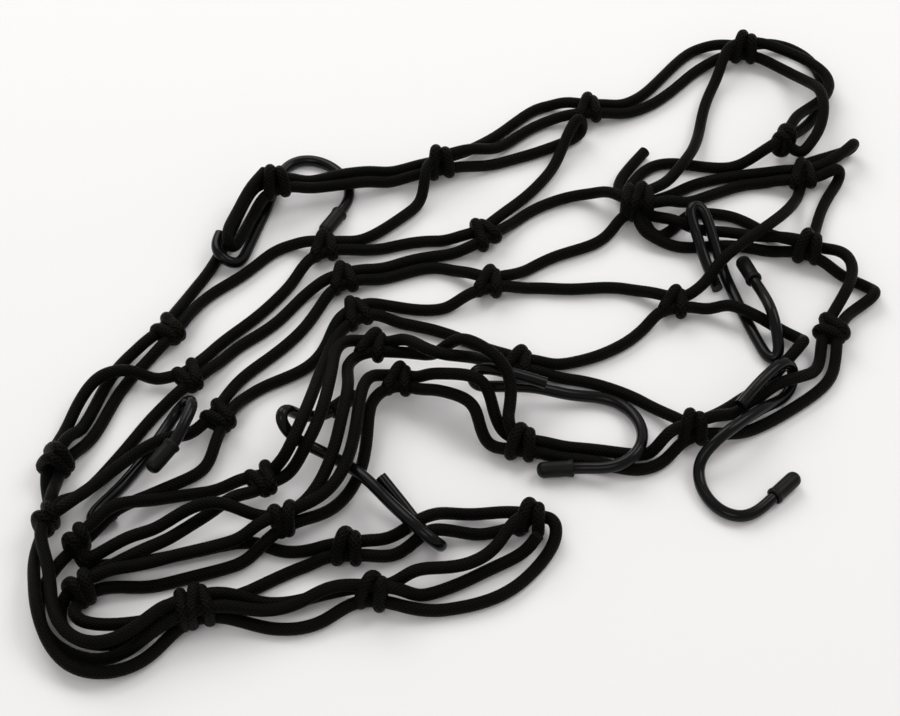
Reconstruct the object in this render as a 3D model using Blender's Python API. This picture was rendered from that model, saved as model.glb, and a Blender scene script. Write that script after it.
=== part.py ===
"""Cargo net of knotted elastic cord with six wire hooks, lying loose on a floor."""
import bpy
import bmesh
import math
import numpy as np
from mathutils import Vector

# ---------------------------------------------------------------- sizes (millimetres)
MM = 0.001
CORD_R = 2.5            # elastic cord, 5 mm across
WIRE_R = 2.2            # coated hook wire
CAP_R = 3.0             # rubber cap on the big end of a hook
CAP_L = 13.5
GAP = 0.36              # air between neighbouring pieces
LANE = 5.4              # spacing of two cords lying side by side in a knot
KNOT_HALF = 5.0         # half the length of a knot along its cords
KNOT_WALL = 2.9         # thickness of the turns around the cords
LANE_END = 6.4          # a cord leaves a knot straight for this far
STEP_LONG = 13.0        # point spacing on straight runs
TURN = 24.0             # degrees of bend between two points
CENTRE = (8.379, 15.280)    # middle of the net on the layout grid

# name: x, y, height of the low lanes, heading (degrees), lane pattern
KNOTS = {
    "1": (-70.0, 81.5, 11.0, 20, "three"),
    "2": (-4.0, 98.0, 5.65, 14, "three"),
    "3": (58.0, 131.0, 5.65, 4, "two"),
    "4": (126.0, 167.0, 5.65, -4, "three"),
    "5": (137.0, 109.5, 5.65, 240, "stack"),
    "6": (143.5, 92.5, 5.65, 5, "two"),
    "7": (75.5, 74.0, 5.65, -5, "four"),
    "8": (13.5, 59.5, 5.65, 42, "two"),
    "9": (-49.5, 52.6, 5.65, 8, "two"),
    "10": (-41.5, 35.6, 5.65, 15, "two"),
    "11": (15.5, 33.5, 5.65, -4, "two"),
    "12": (87.0, 23.0, 5.65, -8, "two"),
    "13": (141.5, 51.0, 5.65, -10, "three"),
    "14": (146.0, 9.0, 5.65, 243, "two"),
    "15": (-36.0, 17.0, 6.5, 30, "two"),
    "16": (-29.0, -3.5, 11.0, -12, "two"),
    "17": (-19.0, -18.5, 9.0, -4, "two"),
    "18": (26.0, -7.5, 5.65, -14, "two"),
    "19": (89.5, -39.5, 5.65, 4, "three"),
    "20": (26.5, -46.5, 5.65, -8, "three"),
    "21": (-107.5, 9.0, 5.65, 240, "two"),
    "22": (-98.0, -14.0, 5.65, 222, "two"),
    "23": (-85.5, -33.5, 5.65, 238, "two"),
    "24": (-143.5, -55.0, 5.65, 253, "three"),
    "25": (-67.5, -65.0, 9.0, 220, "two"),
    "26": (-59.0, -83.0, 9.0, 200, "three"),
    "27": (-143.5, -82.0, 5.65, 240, "stack"),
    "28": (-131.5, -91.5, 5.65, 235, "stack"),
    "29": (-128.5, -110.5, 5.65, 222, "three"),
    "30": (-88.0, -119.5, 5.65, 15, "four"),
    "31": (-36.0, -93.0, 5.65, -2, "three"),
    "32": (-26.5, -112.0, 5.65, -12, "three"),
    "33": (29.0, -80.5, 5.65, -5, "three"),
}

# lane patterns: sideways and upward offsets of each lane, in lane widths
LANES = {
    "two": {"l": (0.5, 0.0), "r": (-0.5, 0.0)},
    "stack": {"l": (0.0, 0.0), "r": (0.0, 1.0)},
    "three": {"l": (0.5, 0.0), "r": (-0.5, 0.0), "t": (0.0, 0.87)},
    "four": {"l": (0.5, 0.0), "r": (-0.5, 0.0), "L": (0.5, 1.0), "R": (-0.5, 1.0)},
}

# a cord is a list of stations: (x, y, z), or (knot, lane, direction, what)
# direction +1 runs with the knot's heading; what is "through", "start" or "end"
T, S, E = "through", "start", "end"
CORDS = {
    "cord_top_edge": [
        ("24", "t", -1, S), (-137.5, -43, 5), (-134.5, -33, 3), (-131.5, -23, 2.6), (-128, -12, 2.6),
        (-123, -3, 3), (-118, 3, 4), ("21", "r", -1, T), (-101.5, 28, 3), (-96, 37, 2.6),
        (-91.5, 47, 2.6), (-87.5, 58, 2.8), (-84, 68, 3.5), (-81, 75, 6), ("1", "l", 1, T),
        (-58, 86, 7), (-46, 89.5, 7), (-37, 92, 7), (-26, 95.5, 3.5), ("2", "l", 1, T),
        (9, 110, 3.5), (20, 117.5, 2.7), (30, 127.5, 2.7), (37.5, 134, 2.7), (43.5, 137, 2.7),
        (48, 136.5, 4), ("3", "l", 1, T), (71, 135, 3.5), (79, 139, 2.8), (86, 146, 2.7),
        (93, 155, 2.7), (102, 165, 2.7), (110, 171.5, 3), ("4", "l", 1, T), (139, 174, 4),
        (146, 172, 2.7), (153, 165, 2.6), (157, 157, 2.6), (157.5, 148, 2.6), (156.5, 139, 2.6),
        (152.5, 129, 2.6), (147, 122.5, 3), ("5", "l", 1, E)],
    "cord_left_loop": [
        ("1", "t", -1, S), (-79, 74, 13), (-82.5, 66, 12), (-85.5, 58, 12), (-86.5, 52.5, 11),
        (-85, 49.5, 8.5), (-83, 53.5, 7.6), (-80, 61, 7.6), (-76.5, 70, 8), ("1", "r", 1, T),
        (-57, 82, 8), (-46, 84.8, 7), (-36, 87, 7), (-26, 89.5, 4), ("2", "r", 1, T),
        (11, 99, 3.5), (22, 103, 2.7), (33, 107.5, 2.7), (43, 112, 2.7), (51, 117, 2.7),
        (55.5, 120, 4.5), (54, 121.5, 10), (50.5, 116.5, 9), (47.5, 109, 5), (44, 101.5, 3),
        (39, 92.5, 2.7), (32.5, 83, 2.7), (25, 75, 3.5), ("8", "l", -1, T), (0, 59.5, 3),
        (-11, 59, 2.7), (-21, 56.5, 2.7), (-32, 52.5, 3), ("9", "r", -1, T), (-59, 38, 3),
        (-66, 28, 2.7), (-73, 18.5, 2.7), (-82, 9.5, 2.7), (-90, 1, 3), ("22", "r", 1, T),
        (-110, -12, 3), (-119, -13.5, 7.6), (-128, -16, 7.8), (-134, -24, 6), (-137.5, -32, 4),
        (-141, -41, 4), ("24", "r", 1, T), (-146.5, -68, 4), ("27", "l", 1, E)],
    "cord_second_edge": [
        (-141.5, -72.5, 8), (-141, -67, 5.5), ("24", "l", -1, T), (-134, -43, 3.5), (-130, -32, 2.7),
        (-126, -21, 2.7), (-119, -9.5, 2.7), (-115, -2, 3.5), ("21", "l", -1, T), (-97, 26.5, 3),
        (-88, 34, 2.7), (-80.5, 39.5, 2.7), (-73, 48, 2.7), (-65, 55.5, 2.7), (-58, 58, 3.5),
        ("9", "l", 1, T), (-36, 57.5, 3), (-27, 64, 2.7), (-17, 73, 2.7), (-10, 81, 2.8),
        (-8.5, 88, 8), ("2", "t", 1, T), (9, 104.5, 7), (20, 110.5, 3), (31, 120, 2.7),
        (41, 127.5, 2.7), ("3", "r", 1, T), (71, 130.5, 3.5), (80, 134.5, 2.7), (90, 142, 2.7),
        (100, 152.5, 2.7), (109, 161.5, 3), ("4", "r", 1, T), (138, 160, 4), (144, 153, 5),
        (149, 144.5, 8), (153, 136, 12), (154, 127, 12), (152.5, 118, 9), (148.5, 110.5, 7),
        (143.8, 106.5, 6)],
    "cord_far_loop": [
        ("7", "L", 1, S), (85, 83, 9), (91, 91, 8.5), (97, 101, 8), (101.5, 112, 4),
        (105, 126, 2.7), (109, 140, 2.7), (114, 150, 2.7), (118, 157, 6), ("4", "t", 1, T),
        (138, 165.5, 8), (147, 161, 8), (155, 153.5, 8), (159.5, 145, 8), (157, 136, 7.7),
        (150, 130, 7.7), (143.5, 124, 9), ("5", "r", 1, T), (127, 100.5, 9), (118, 97, 3),
        (108, 96.5, 2.7), (97, 99.5, 2.7), (87, 100.5, 2.7), (79.5, 97, 2.7), (75, 90, 3),
        (74.5, 85.5, 3.5)],
    "cord_tail": [
        (81.5, 107.5, 3), (77, 101.5, 2.7), (72.5, 94, 3), (68.5, 85, 4.5), ("7", "l", 1, T),
        (88, 83, 3.5), (97, 89, 2.7), (107, 93, 2.7), (118, 94, 2.7), (129, 96, 3.5),
        ("6", "l", 1, T), (155, 98.5, 7), (162, 104.5, 8.5), (166.5, 109.5, 7.5), (164.5, 110, 2.8),
        (158, 107, 2.6), (151, 104.5, 2.8), (146, 104, 3)],
    "cord_third": [
        (-99, -123.5, 9), (-105, -129, 8.5), (-113, -134, 8), (-121, -134.5, 8), (-129, -130.5, 8.5),
        (-134.5, -121.5, 9.5), (-137, -110, 8.5), (-140, -98, 10.5), ("27", "r", -1, T), (-137, -74, 6),
        (-130.5, -63.5, 3), (-122.5, -51, 2.7), (-114.5, -37.5, 2.7), (-107, -25, 3), ("22", "l", -1, T),
        (-86.5, -1, 3), (-78, 6, 2.7), (-69.5, 13, 2.7), (-62, 22, 2.7), (-54.5, 33, 3.5),
        ("10", "l", 1, T), (-27, 43, 3), (-15, 49, 2.7), (-4, 51.5, 2.7), (4, 53, 3),
        ("8", "r", 1, T), (25, 69, 3), (32, 74.5, 2.7), (41, 79, 2.7), (51, 83, 2.7),
        (60, 83, 4), (67, 78, 9), ("7", "R", 1, T), (88, 74.5, 9.5), (97, 81, 4),
        (109, 87.5, 2.7), (120, 93, 2.7), (130, 95, 3), ("6", "r", 1, T), (156, 93.5, 8),
        (160.5, 96, 8), (158.5, 93.5, 3.5), (154, 87, 2.7), (150, 78, 2.7), (147.5, 70, 2.7),
        (146, 63.5, 3)],
    "cord_fourth": [
        (-136.5, -76.5, 12), (-130, -67, 8.5), (-121.5, -58, 7.8), (-113.5, -49.5, 8), (-104, -44, 8),
        (-95, -39, 4), ("23", "r", -1, T), (-78.5, -13.5, 3), (-69, -4, 2.7), (-59.5, 6.5, 2.7),
        (-52.5, 16, 2.7), (-48.5, 26, 3), ("10", "r", 1, T), (-27, 37, 3), (-16, 41.5, 2.7),
        (-5, 44.5, 2.7), (4, 42.5, 2.7), ("11", "l", 1, T), (29, 42, 2.7), (40, 49, 2.7),
        (52, 54, 2.7), (62, 58, 2.7), (67, 64, 3), ("7", "r", 1, T), (89, 64, 3),
        (98, 62, 2.7), (107, 62.5, 2.7), (116, 61, 3.5), (125, 57, 7), ("13", "t", 1, E)],
    "cord_fifth": [
        (30, -87.5, 9.5), (28, -90, 5), (23, -92.5, 3), (14, -97.5, 2.7), (4, -104, 2.7),
        (-6, -108, 2.7), (-14, -111.5, 4), ("32", "t", -1, T), (-42, -112, 8), (-52, -116.5, 7),
        (-64, -120, 7), ("30", "R", -1, T), (-102, -131, 9), (-110, -135, 5), (-119, -137, 2.8),
        (-128, -134, 2.8), (-135.5, -127, 2.8), (-139.5, -116, 2.8), (-139.5, -104, 3.5), ("28", "l", -1, T),
        (-122.5, -78, 5), (-111, -69, 3), (-98.5, -61.5, 2.7), (-88, -53, 2.7), ("23", "l", -1, T),
        (-77, -20.5, 3), (-67, -14, 2.7), (-56, -8, 2.7), (-48.5, -1, 2.7), (-45, 8, 3),
        ("15", "l", 1, T), (-20, 21, 3), (-9, 21.5, 2.7), (2, 22, 2.7), ("11", "r", 1, T),
        (31, 35, 2.7), (46, 33, 2.7), (61, 34, 2.7), (74, 33, 2.7), ("12", "l", 1, T),
        (100, 36, 3.5), (108, 42.5, 7.8), (117, 50, 9), (126, 57.5, 9), (134, 68, 8),
        (139, 79, 5), (140.5, 83.5, 3)],
    "cord_sixth": [
        ("28", "r", -1, S), (-121, -79, 12.5), (-111, -73.5, 8), (-99.5, -68, 4.5), (-88.5, -64.5, 2.7),
        (-80, -64.5, 5), ("25", "r", -1, T), (-60.5, -63, 14), (-56, -55, 20), (-52.5, -45, 21),
        (-50, -34, 19), (-48, -21, 15), (-45.5, -7, 10), ("15", "r", 1, T), (-22, 15.5, 3),
        (-12, 13, 2.7), (-1, 10, 2.7), (9, 4, 2.7), ("18", "l", 1, T), (40, -6.5, 3),
        (51, -4, 2.7), (61, 0, 2.7), (71, 6.5, 2.7), (79, 14.5, 3), ("12", "r", 1, T),
        (101, 23, 4), (108, 20.5, 7.8), (115, 17, 8), (123, 12.5, 6.2), (131, 8.5, 4),
        (137, 4.5, 5), (135, 0.5, 8.5), (130.5, -4.5, 7.8), (124.5, -10.5, 4), (118, -16.5, 2.7),
        (111, -22, 2.7), (104, -26, 3), ("19", "l", -1, E)],
    "cord_middle": [
        ("19", "l", -1, S), (75, -28.5, 3), (63, -22.5, 2.7), (50, -15.5, 2.7), (41, -12, 3),
        ("18", "r", -1, T), (12, -13, 14), (4, -17.5, 20), (-5, -18, 21), (-13, -13, 18),
        ("16", "l", -1, T), (-41, -6, 13), (-43.5, -19, 17), (-45.5, -32, 21), (-48.5, -46, 21.5),
        (-54, -58, 18), ("25", "l", 1, T), (-77, -75, 12), (-88, -80, 8), (-99, -88.5, 7),
        (-111, -97.5, 7), ("29", "r", 1, T), (-136, -120, 3), (-133.5, -126.5, 2.7), (-127, -130, 2.7),
        (-118, -131, 2.7), (-109, -128, 3.5), ("30", "L", 1, T), (-76, -116.5, 9), (-64, -115.5, 4),
        (-52, -114, 3), (-42, -111, 3), ("32", "l", 1, T), (-16, -104, 7.8), (-6, -103.5, 7.7),
        (4, -102.5, 7), (14, -96, 6), (21, -90, 8), ("33", "t", 1, E)],
    "cord_inner": [
        (81.5, 67.5, 4), (88, 69.5, 3), (94, 75, 3), (103, 74.5, 2.7), (111, 74, 2.7),
        (119, 69.5, 2.7), (127, 62, 2.7), ("13", "l", 1, T), (152.5, 48.5, 7.8), (157, 41.5, 8),
        (155.5, 32, 8), (152, 22, 8), ("14", "r", 1, T), (141, -3, 3), (137, -9, 2.7),
        (130, -15.5, 6), (121.5, -20.5, 7.8), (112, -27, 5), (103, -34, 6), ("19", "t", -1, T),
        (76, -44.5, 6), (66, -47.5, 2.7), (54, -47, 2.7), (43, -46, 2.7), ("20", "l", -1, T),
        (17.5, -42.5, 9), (16.5, -37, 14.5), (14.5, -30.5, 19), (8, -27.5, 21.5), (-1, -25.5, 20),
        (-10, -20.5, 14.5), ("17", "l", -1, T), (-30, -22, 13), (-32.5, -35, 15), (-34, -48, 15),
        (-37, -60, 13), (-43, -71, 12), ("26", "t", 1, T), (-71, -90, 9), (-82, -94, 7.6),
        (-94, -97, 7.6), (-106, -101.5, 7.6), (-116, -105, 9), ("29", "t", 1, E)],
    "cord_outer": [
        (81.5, 62, 4), (89, 56.5, 2.7), (98, 56, 2.7), (108, 57.5, 2.7), (118, 56, 2.7),
        (129, 52, 3), ("13", "r", 1, T), (151, 41, 3), (157, 36.5, 2.7), (164, 33, 3),
        (165.5, 29.5, 5), (160, 25.5, 4), (154, 21.5, 4), ("14", "l", 1, T), (145.5, -3.5, 3),
        (142, -11, 2.7), (134, -18, 2.7), (125, -24.5, 2.7), (115, -32, 2.7), (105, -38.5, 3),
        ("19", "r", -1, T), (77, -49, 3), (66, -53, 2.7), (54, -52.5, 2.7), (42, -51.5, 3),
        ("20", "r", -1, T), (14, -45, 4.5), (11.5, -40, 11), (9.9, -34.7, 14.5), (5, -31.5, 15.5),
        (-1.5, -29.5, 15), (-8, -25, 12.5), ("17", "r", -1, T), (-28, -29, 11), (-29.5, -40, 12), (-31.5, -52, 11),
        (-36, -65, 8.5), (-44, -76, 7.5), ("26", "l", 1, T), (-71, -97, 4), (-83, -100.5, 3),
        (-95, -104, 2.7), (-108, -108, 2.7), ("29", "l", 1, T), (-132.5, -120.5, 6.5), (-128.5, -126, 8),
        (-120, -127.5, 7.8), (-110, -124, 4), (-102, -121, 3), ("30", "l", 1, T), (-74, -111, 3),
        (-64, -106, 2.7), (-54, -100, 2.7), (-46, -96.5, 3), ("31", "r", 1, T), (-20, -94.5, 3),
        (-14, -92, 4.5), (-7.5, -87.5, 7.6), (3, -84.5, 4), (14, -86, 3), ("33", "r", 1, E)],
    "cord_bottom_edge": [
        (-128, -98.5, 3), (-119, -99.5, 2.7), (-106, -96, 2.7), (-92, -92.5, 2.7), (-80, -89.5, 2.7),
        (-69, -88, 2.8), (-59, -92.5, 3), (-49.5, -89.5, 3), ("31", "l", 1, T), (-22, -86.5, 3.5),
        (-13, -84, 7.5), (-6, -79, 6), (2, -76, 3), (12, -77, 2.7), ("33", "l", 1, T),
        (39, -78.5, 8), (38, -84, 5), (33, -91.5, 3), (28, -99, 2.7), (20, -106.5, 2.7),
        (9, -111.5, 2.7), (-3, -113.5, 2.7), ("32", "r", -1, T), (-42, -121.5, 3), (-52, -124.5, 2.7),
        (-64, -124, 2.7), ("30", "r", -1, T), (-102, -136, 3), (-111, -141, 2.7), (-120, -142.5, 2.7),
        (-129, -139.5, 2.7), (-136, -131, 3.5), (-141.5, -119, 7.6), (-144, -107, 7), (-146.5, -96, 5),
        ("27", "l", -1, E)],
    "cord_folded": [
        (-124.5, -99, 8), (-113, -93.5, 11), (-102, -87, 9), (-91, -82.5, 14), (-80, -81, 15.5),
        ("26", "r", -1, T), (-44, -67, 14), (-39.5, -55, 19), (-37.5, -42, 21), (-35.5, -29, 20),
        (-36.5, -16, 14), ("16", "r", 1, T), (-12, -9, 14), (-6, -12.5, 17), (3, -13, 26),
        (13, -18, 26), (21.5, -25, 21), (22.5, -33, 15), (20, -38.5, 12), (17.5, -45, 12.5),
        ("20", "t", 1, E)],
}

# hooks: stations of the wire from the plain end to the end inside the cap, then the cap's mouth
HOOKS = {
    "a": [(-91, 57.5, 8), (-92.5, 51.5, 8), (-90.5, 46, 7.6), (-86.5, 44, 5.5), (-83, 46, 3),
          (-81, 52, 2.4), (-77.5, 64, 2.4), (-73.5, 78, 2.4), (-71, 89.5, 2.4), (-69, 97, 2.4),
          (-65.5, 102, 2.4), (-60.5, 104.3, 2.4), (-55, 103.8, 2.4), (-49.5, 101, 2.4),
          (-44.5, 96, 2.4), (-41.3, 90, 2.4), (-40.7, 83.5, 2.4), (-42.2, 77.5, 2.9), (-44.2, 73.4, 3.4),
          (-46.8, 68.7, 3.5)],
    "b": [(107, -32.5, 12), (113.5, -25, 13.5), (120.5, -17, 14), (126.5, -11.5, 11.5), (129.5, -11.5, 6.5),
          (128.5, -17, 2.5), (124.5, -22.5, 2.7), (118.5, -29, 7.8), (110, -37.5, 11), (101.5, -45, 12),
          (95, -50, 9.5), (91, -54, 5.5), (90.5, -60, 3.2), (92.5, -67.5, 2.8), (98.5, -75, 2.8),
          (105.5, -77, 2.8), (111.5, -74, 3), (117, -68.5, 3.4), (122.5, -63, 3.6)],
    "c": [(104.5, 33, 2.8), (101, 45, 4), (97.5, 56, 9.5), (95, 63, 13), (95.5, 67.5, 14.5), (99.5, 67.5, 14),
          (102, 60, 11), (105, 52.5, 6.5), (107.5, 43, 2.6), (110, 33, 2.5), (113.5, 20, 2.5),
          (118.5, 5.5, 2.5), (121.5, -3, 2.6), (124.5, -4, 2.7), (125, 3, 6.5), (123, 14, 11.6),
          (120.5, 25, 9.5), (118.5, 33.5, 7), (116, 41.5, 6)],
    "d": [(35.5, -23.5, 13.5), (24, -22, 17), (14, -21.5, 20), (8.5, -22.5, 20), (8, -25.5, 15.5),
          (14.5, -24, 12), (24, -21.5, 10), (38, -21, 6), (49, -22, 3.5), (59, -22.5, 3),
          (66, -27, 3.2), (70, -34.5, 4.5), (71, -42, 6.5), (69.5, -49.5, 8.2), (65, -55.5, 8),
          (58, -57.5, 6.5), (51, -56.5, 5), (45, -56.3, 4.6), (37, -56.8, 4.5)],
    "e": [(-25, -65, 11), (-18, -73, 7.5), (-11.5, -80.5, 3.5), (-7.5, -85.5, 2.4), (-3.5, -89.5, 3),
          (-2.5, -92.5, 6.5), (-5.5, -93.5, 11), (-11, -89.5, 13), (-19, -80.5, 12.5), (-27, -71, 13),
          (-34, -62.5, 12), (-42, -55.5, 9.5), (-50, -52.5, 12.5), (-56, -52, 16.5), (-60.5, -49.5, 21.5),
          (-61.5, -47, 25), (-60, -44.5, 24.5), (-57.5, -42.5, 20), (-54.5, -40, 15), (-51, -37.5, 11),
          (-47.5, -35, 8.5), (-44, -32, 7.5), (-39, -26.5, 6.5)],
    "f": [(-121, -75.5, 2.6), (-125, -79.5, 2.6), (-128.5, -80.5, 2.6), (-129.5, -77, 2.5), (-125, -70.5, 2.4),
          (-117.5, -60, 2.5), (-111.5, -49, 2.5), (-106, -38, 2.8), (-102.5, -31.5, 4), (-99, -29, 8),
          (-95.5, -31, 13), (-94.5, -36, 15.5), (-96, -41.5, 15.5), (-98, -46.5, 14.5),
          (-100.5, -51.5, 13), (-105.5, -58, 11.5)],
}

CORD_BLACK = (0.012, 0.012, 0.011, 1.0)
WIRE_BLACK = (0.008, 0.008, 0.009, 1.0)
CAP_BLACK = (0.010, 0.010, 0.011, 1.0)


# ---------------------------------------------------------------- start clean
for old in list(bpy.data.objects):
    bpy.data.objects.remove(old, do_unlink=True)

parts = bpy.data.collections.new("cargo_net")
bpy.context.scene.collection.children.link(parts)


def material(name, colour, roughness):
    mat = bpy.data.materials.new(name)
    mat.use_nodes = True
    shader = mat.node_tree.nodes["Principled BSDF"]
    shader.inputs["Base Color"].default_value = colour
    shader.inputs["Roughness"].default_value = roughness
    return mat


# ---------------------------------------------------------------- curves through stations
def lane_point(knot, lane, along):
    """A point of one lane of a knot, measured along the knot's heading."""
    x, y, z, heading, pattern = KNOTS[knot]
    side, up = LANES[pattern][lane]
    c = math.cos(math.radians(heading))
    s = math.sin(math.radians(heading))
    return (x + c * along - s * side * LANE, y + s * along + c * side * LANE, z + up * LANE)


def stations_to_points(stations):
    """Expand the stations of a cord: points, and whether each one is held by a knot."""
    points = []
    held = []
    for st in stations:
        if isinstance(st[0], str):
            knot, lane, way, what = st
            first = 1.0 if what == "start" else -LANE_END
            last = -1.0 if what == "end" else LANE_END
            for along in (first, last):
                points.append(lane_point(knot, lane, along * way))
                held.append(True)
        else:
            points.append(st)
            held.append(False)
    return np.array(points, float), held


def smooth(points, held):
    """Centripetal Catmull-Rom curve, straight between the two points of a knot."""
    ends = [2 * points[0] - points[1]], [2 * points[-1] - points[-2]]
    p = np.vstack([ends[0], points, ends[1]])
    fine = [points[0]]
    fixed = [held[0]]
    for i in range(1, len(points)):
        a, b, c, d = p[i - 1], p[i], p[i + 1], p[i + 2]
        if held[i - 1] and held[i]:
            fine.append(points[i])
            fixed.append(True)
            continue
        ta = math.sqrt(np.linalg.norm(b - a))
        tb = math.sqrt(np.linalg.norm(c - b))
        tc = math.sqrt(np.linalg.norm(d - c))
        m1 = (b - a) / ta - (c - a) / (ta + tb) + (c - b) / tb
        m2 = (c - b) / tb - (d - b) / (tb + tc) + (d - c) / tc
        m1 = m1 * tb
        m2 = m2 * tb
        count = max(2, int(np.linalg.norm(c - b) / 1.0))
        for k in range(1, count + 1):
            t = k / count
            h1 = 2 * t ** 3 - 3 * t ** 2 + 1
            h2 = t ** 3 - 2 * t ** 2 + t
            h3 = -2 * t ** 3 + 3 * t ** 2
            h4 = t ** 3 - t ** 2
            fine.append(h1 * b + h2 * m1 + h3 * c + h4 * m2)
            fixed.append(held[i] and k == count)
    return np.array(fine), fixed


def thin_out(fine, fixed, long_step=STEP_LONG, turn=TURN):
    """Keep a point whenever the curve has turned enough or run far enough."""
    keep = [0]
    travelled = 0.0
    turned = 0.0
    for i in range(1, len(fine) - 1):
        before = fine[i] - fine[i - 1]
        after = fine[i + 1] - fine[i]
        travelled += np.linalg.norm(before)
        cosine = before @ after / (np.linalg.norm(before) * np.linalg.norm(after) + 1e-9)
        turned += math.degrees(math.acos(max(-1.0, min(1.0, cosine))))
        if fixed[i] or ((travelled > long_step or turned > turn) and travelled > 2.0):
            keep.append(i)
            travelled = 0.0
            turned = 0.0
    keep.append(len(fine) - 1)
    return fine[keep], [fixed[i] for i in keep]


# ---------------------------------------------------------------- keep neighbours apart
def closest(p1, q1, p2, q2):
    """Closest parameters of many pairs of segments."""
    d1 = q1 - p1
    d2 = q2 - p2
    r = p1 - p2
    a = np.sum(d1 * d1, axis=1) + 1e-12
    e = np.sum(d2 * d2, axis=1) + 1e-12
    f = np.sum(d2 * r, axis=1)
    c = np.sum(d1 * r, axis=1)
    b = np.sum(d1 * d2, axis=1)
    den = a * e - b * b
    s = np.where(den > 1e-9, np.clip((b * f - c * e) / np.maximum(den, 1e-9), 0, 1), 0.5)
    t = np.clip((b * s + f) / e, 0, 1)
    s = np.clip((b * t - c) / a, 0, 1)
    t = np.clip((b * s + f) / e, 0, 1)
    return s, t


def relax(lines, fixed, radii, solid, rounds=500):
    """Push the free points of the cords off each other, the hooks, the knots and the floor."""
    start = np.cumsum([0] + [len(x) for x in lines])
    pos = np.vstack(lines)
    home = pos.copy()
    free = ~np.concatenate([np.array(f) for f in fixed])
    seg = []
    owner = []
    for k, x in enumerate(lines):
        for i in range(len(x) - 1):
            seg.append((start[k] + i, start[k] + i + 1))
            owner.append(k)
    seg = np.array(seg)
    owner = np.array(owner)
    radius = np.array([radii[k] for k in owner])
    n = len(seg)
    ia, ib = np.triu_indices(n, 1)
    near = (owner[ia] != owner[ib]) | (np.abs(ia - ib) > 3)
    ia, ib = ia[near], ib[near]
    mid = 0.5 * (pos[seg[:, 0]] + pos[seg[:, 1]])
    half = 0.5 * np.linalg.norm(pos[seg[:, 0]] - pos[seg[:, 1]], axis=1)
    reach = np.linalg.norm(mid[ia] - mid[ib], axis=1) - half[ia] - half[ib]
    ia, ib = ia[reach < 30], ib[reach < 30]
    movable = free[seg[ia]].any(axis=1) | free[seg[ib]].any(axis=1)
    ia, ib = ia[movable], ib[movable]
    need = radius[ia] + radius[ib] + GAP
    for step in range(rounds):
        s, t = closest(pos[seg[ia, 0]], pos[seg[ia, 1]], pos[seg[ib, 0]], pos[seg[ib, 1]])
        pa = pos[seg[ia, 0]] * (1 - s)[:, None] + pos[seg[ia, 1]] * s[:, None]
        pb = pos[seg[ib, 0]] * (1 - t)[:, None] + pos[seg[ib, 1]] * t[:, None]
        gap = pa - pb
        dist = np.linalg.norm(gap, axis=1)
        hit = dist < need
        move = np.zeros_like(pos)
        hits = np.zeros(len(pos))
        if hit.any():
            way = gap[hit] / (dist[hit][:, None] + 1e-6)
            way[dist[hit] < 0.05] = (0, 0, 1)
            push = way * ((need[hit] - dist[hit]) * 0.55)[:, None]
            for idx, w, sign in ((seg[ia[hit], 0], 1 - s[hit], 1), (seg[ia[hit], 1], s[hit], 1),
                                 (seg[ib[hit], 0], 1 - t[hit], -1), (seg[ib[hit], 1], t[hit], -1)):
                np.add.at(move, idx, sign * push * w[:, None])
                np.add.at(hits, idx, w)
        for p, q, r, skip in solid:
            reach = r + CORD_R + GAP
            m = np.linalg.norm(mid - 0.5 * (p + q), axis=1) < reach + half + 12
            m &= ~np.isin(np.arange(n), skip)
            if not m.any():
                continue
            k = np.nonzero(m)[0]
            s2, t2 = closest(pos[seg[k, 0]], pos[seg[k, 1]], np.tile(p, (len(k), 1)), np.tile(q, (len(k), 1)))
            a = pos[seg[k, 0]] * (1 - s2)[:, None] + pos[seg[k, 1]] * s2[:, None]
            b = p + (q - p) * t2[:, None]
            d = np.linalg.norm(a - b, axis=1)
            h = d < reach + radius[k] - CORD_R
            if not h.any():
                continue
            way = (a[h] - b[h]) / (d[h][:, None] + 1e-6)
            push = way * ((reach + radius[k][h] - CORD_R - d[h]) * 0.7)[:, None]
            np.add.at(move, seg[k[h], 0], push * (1 - s2[h])[:, None])
            np.add.at(move, seg[k[h], 1], push * s2[h][:, None])
            np.add.at(hits, seg[k[h], 0], 1 - s2[h])
            np.add.at(hits, seg[k[h], 1], s2[h])
        worst = float((need[hit] - dist[hit]).max()) if hit.any() else 0.0
        move /= np.maximum(hits, 1.0)[:, None]
        pull = 0.02 if step < rounds * 0.5 else 0.0
        pos[free] += move[free] * 1.6 + (home[free] - pos[free]) * pull
        if step < rounds * 0.8:
            bend = np.zeros_like(pos)
            for k in range(len(lines)):
                i0, i1 = start[k], start[k + 1]
                now = pos[i0:i1 - 2] + pos[i0 + 2:i1] - 2 * pos[i0 + 1:i1 - 1]
                was = home[i0:i1 - 2] + home[i0 + 2:i1] - 2 * home[i0 + 1:i1 - 1]
                bend[i0 + 1:i1 - 1] = (now - was) * 0.12
            pos[free] += bend[free]
        floor = np.maximum(pos[:, 2], CORD_R + 0.06)
        pos[free, 2] = floor[free]
        mid = 0.5 * (pos[seg[:, 0]] + pos[seg[:, 1]])
    return [pos[start[k]:start[k + 1]] for k in range(len(lines))], worst


def knot_core(knot):
    """Fat segments standing for the outside of a knot."""
    x, y, z, heading, pattern = KNOTS[knot]
    r = CORD_R + 0.3 + KNOT_WALL
    reach = KNOT_HALF - 3.2
    out = []
    for lane in LANES[pattern]:
        p = np.array(lane_point(knot, lane, -reach))
        q = np.array(lane_point(knot, lane, reach))
        out.append((p, q, r))
    return out


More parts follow.
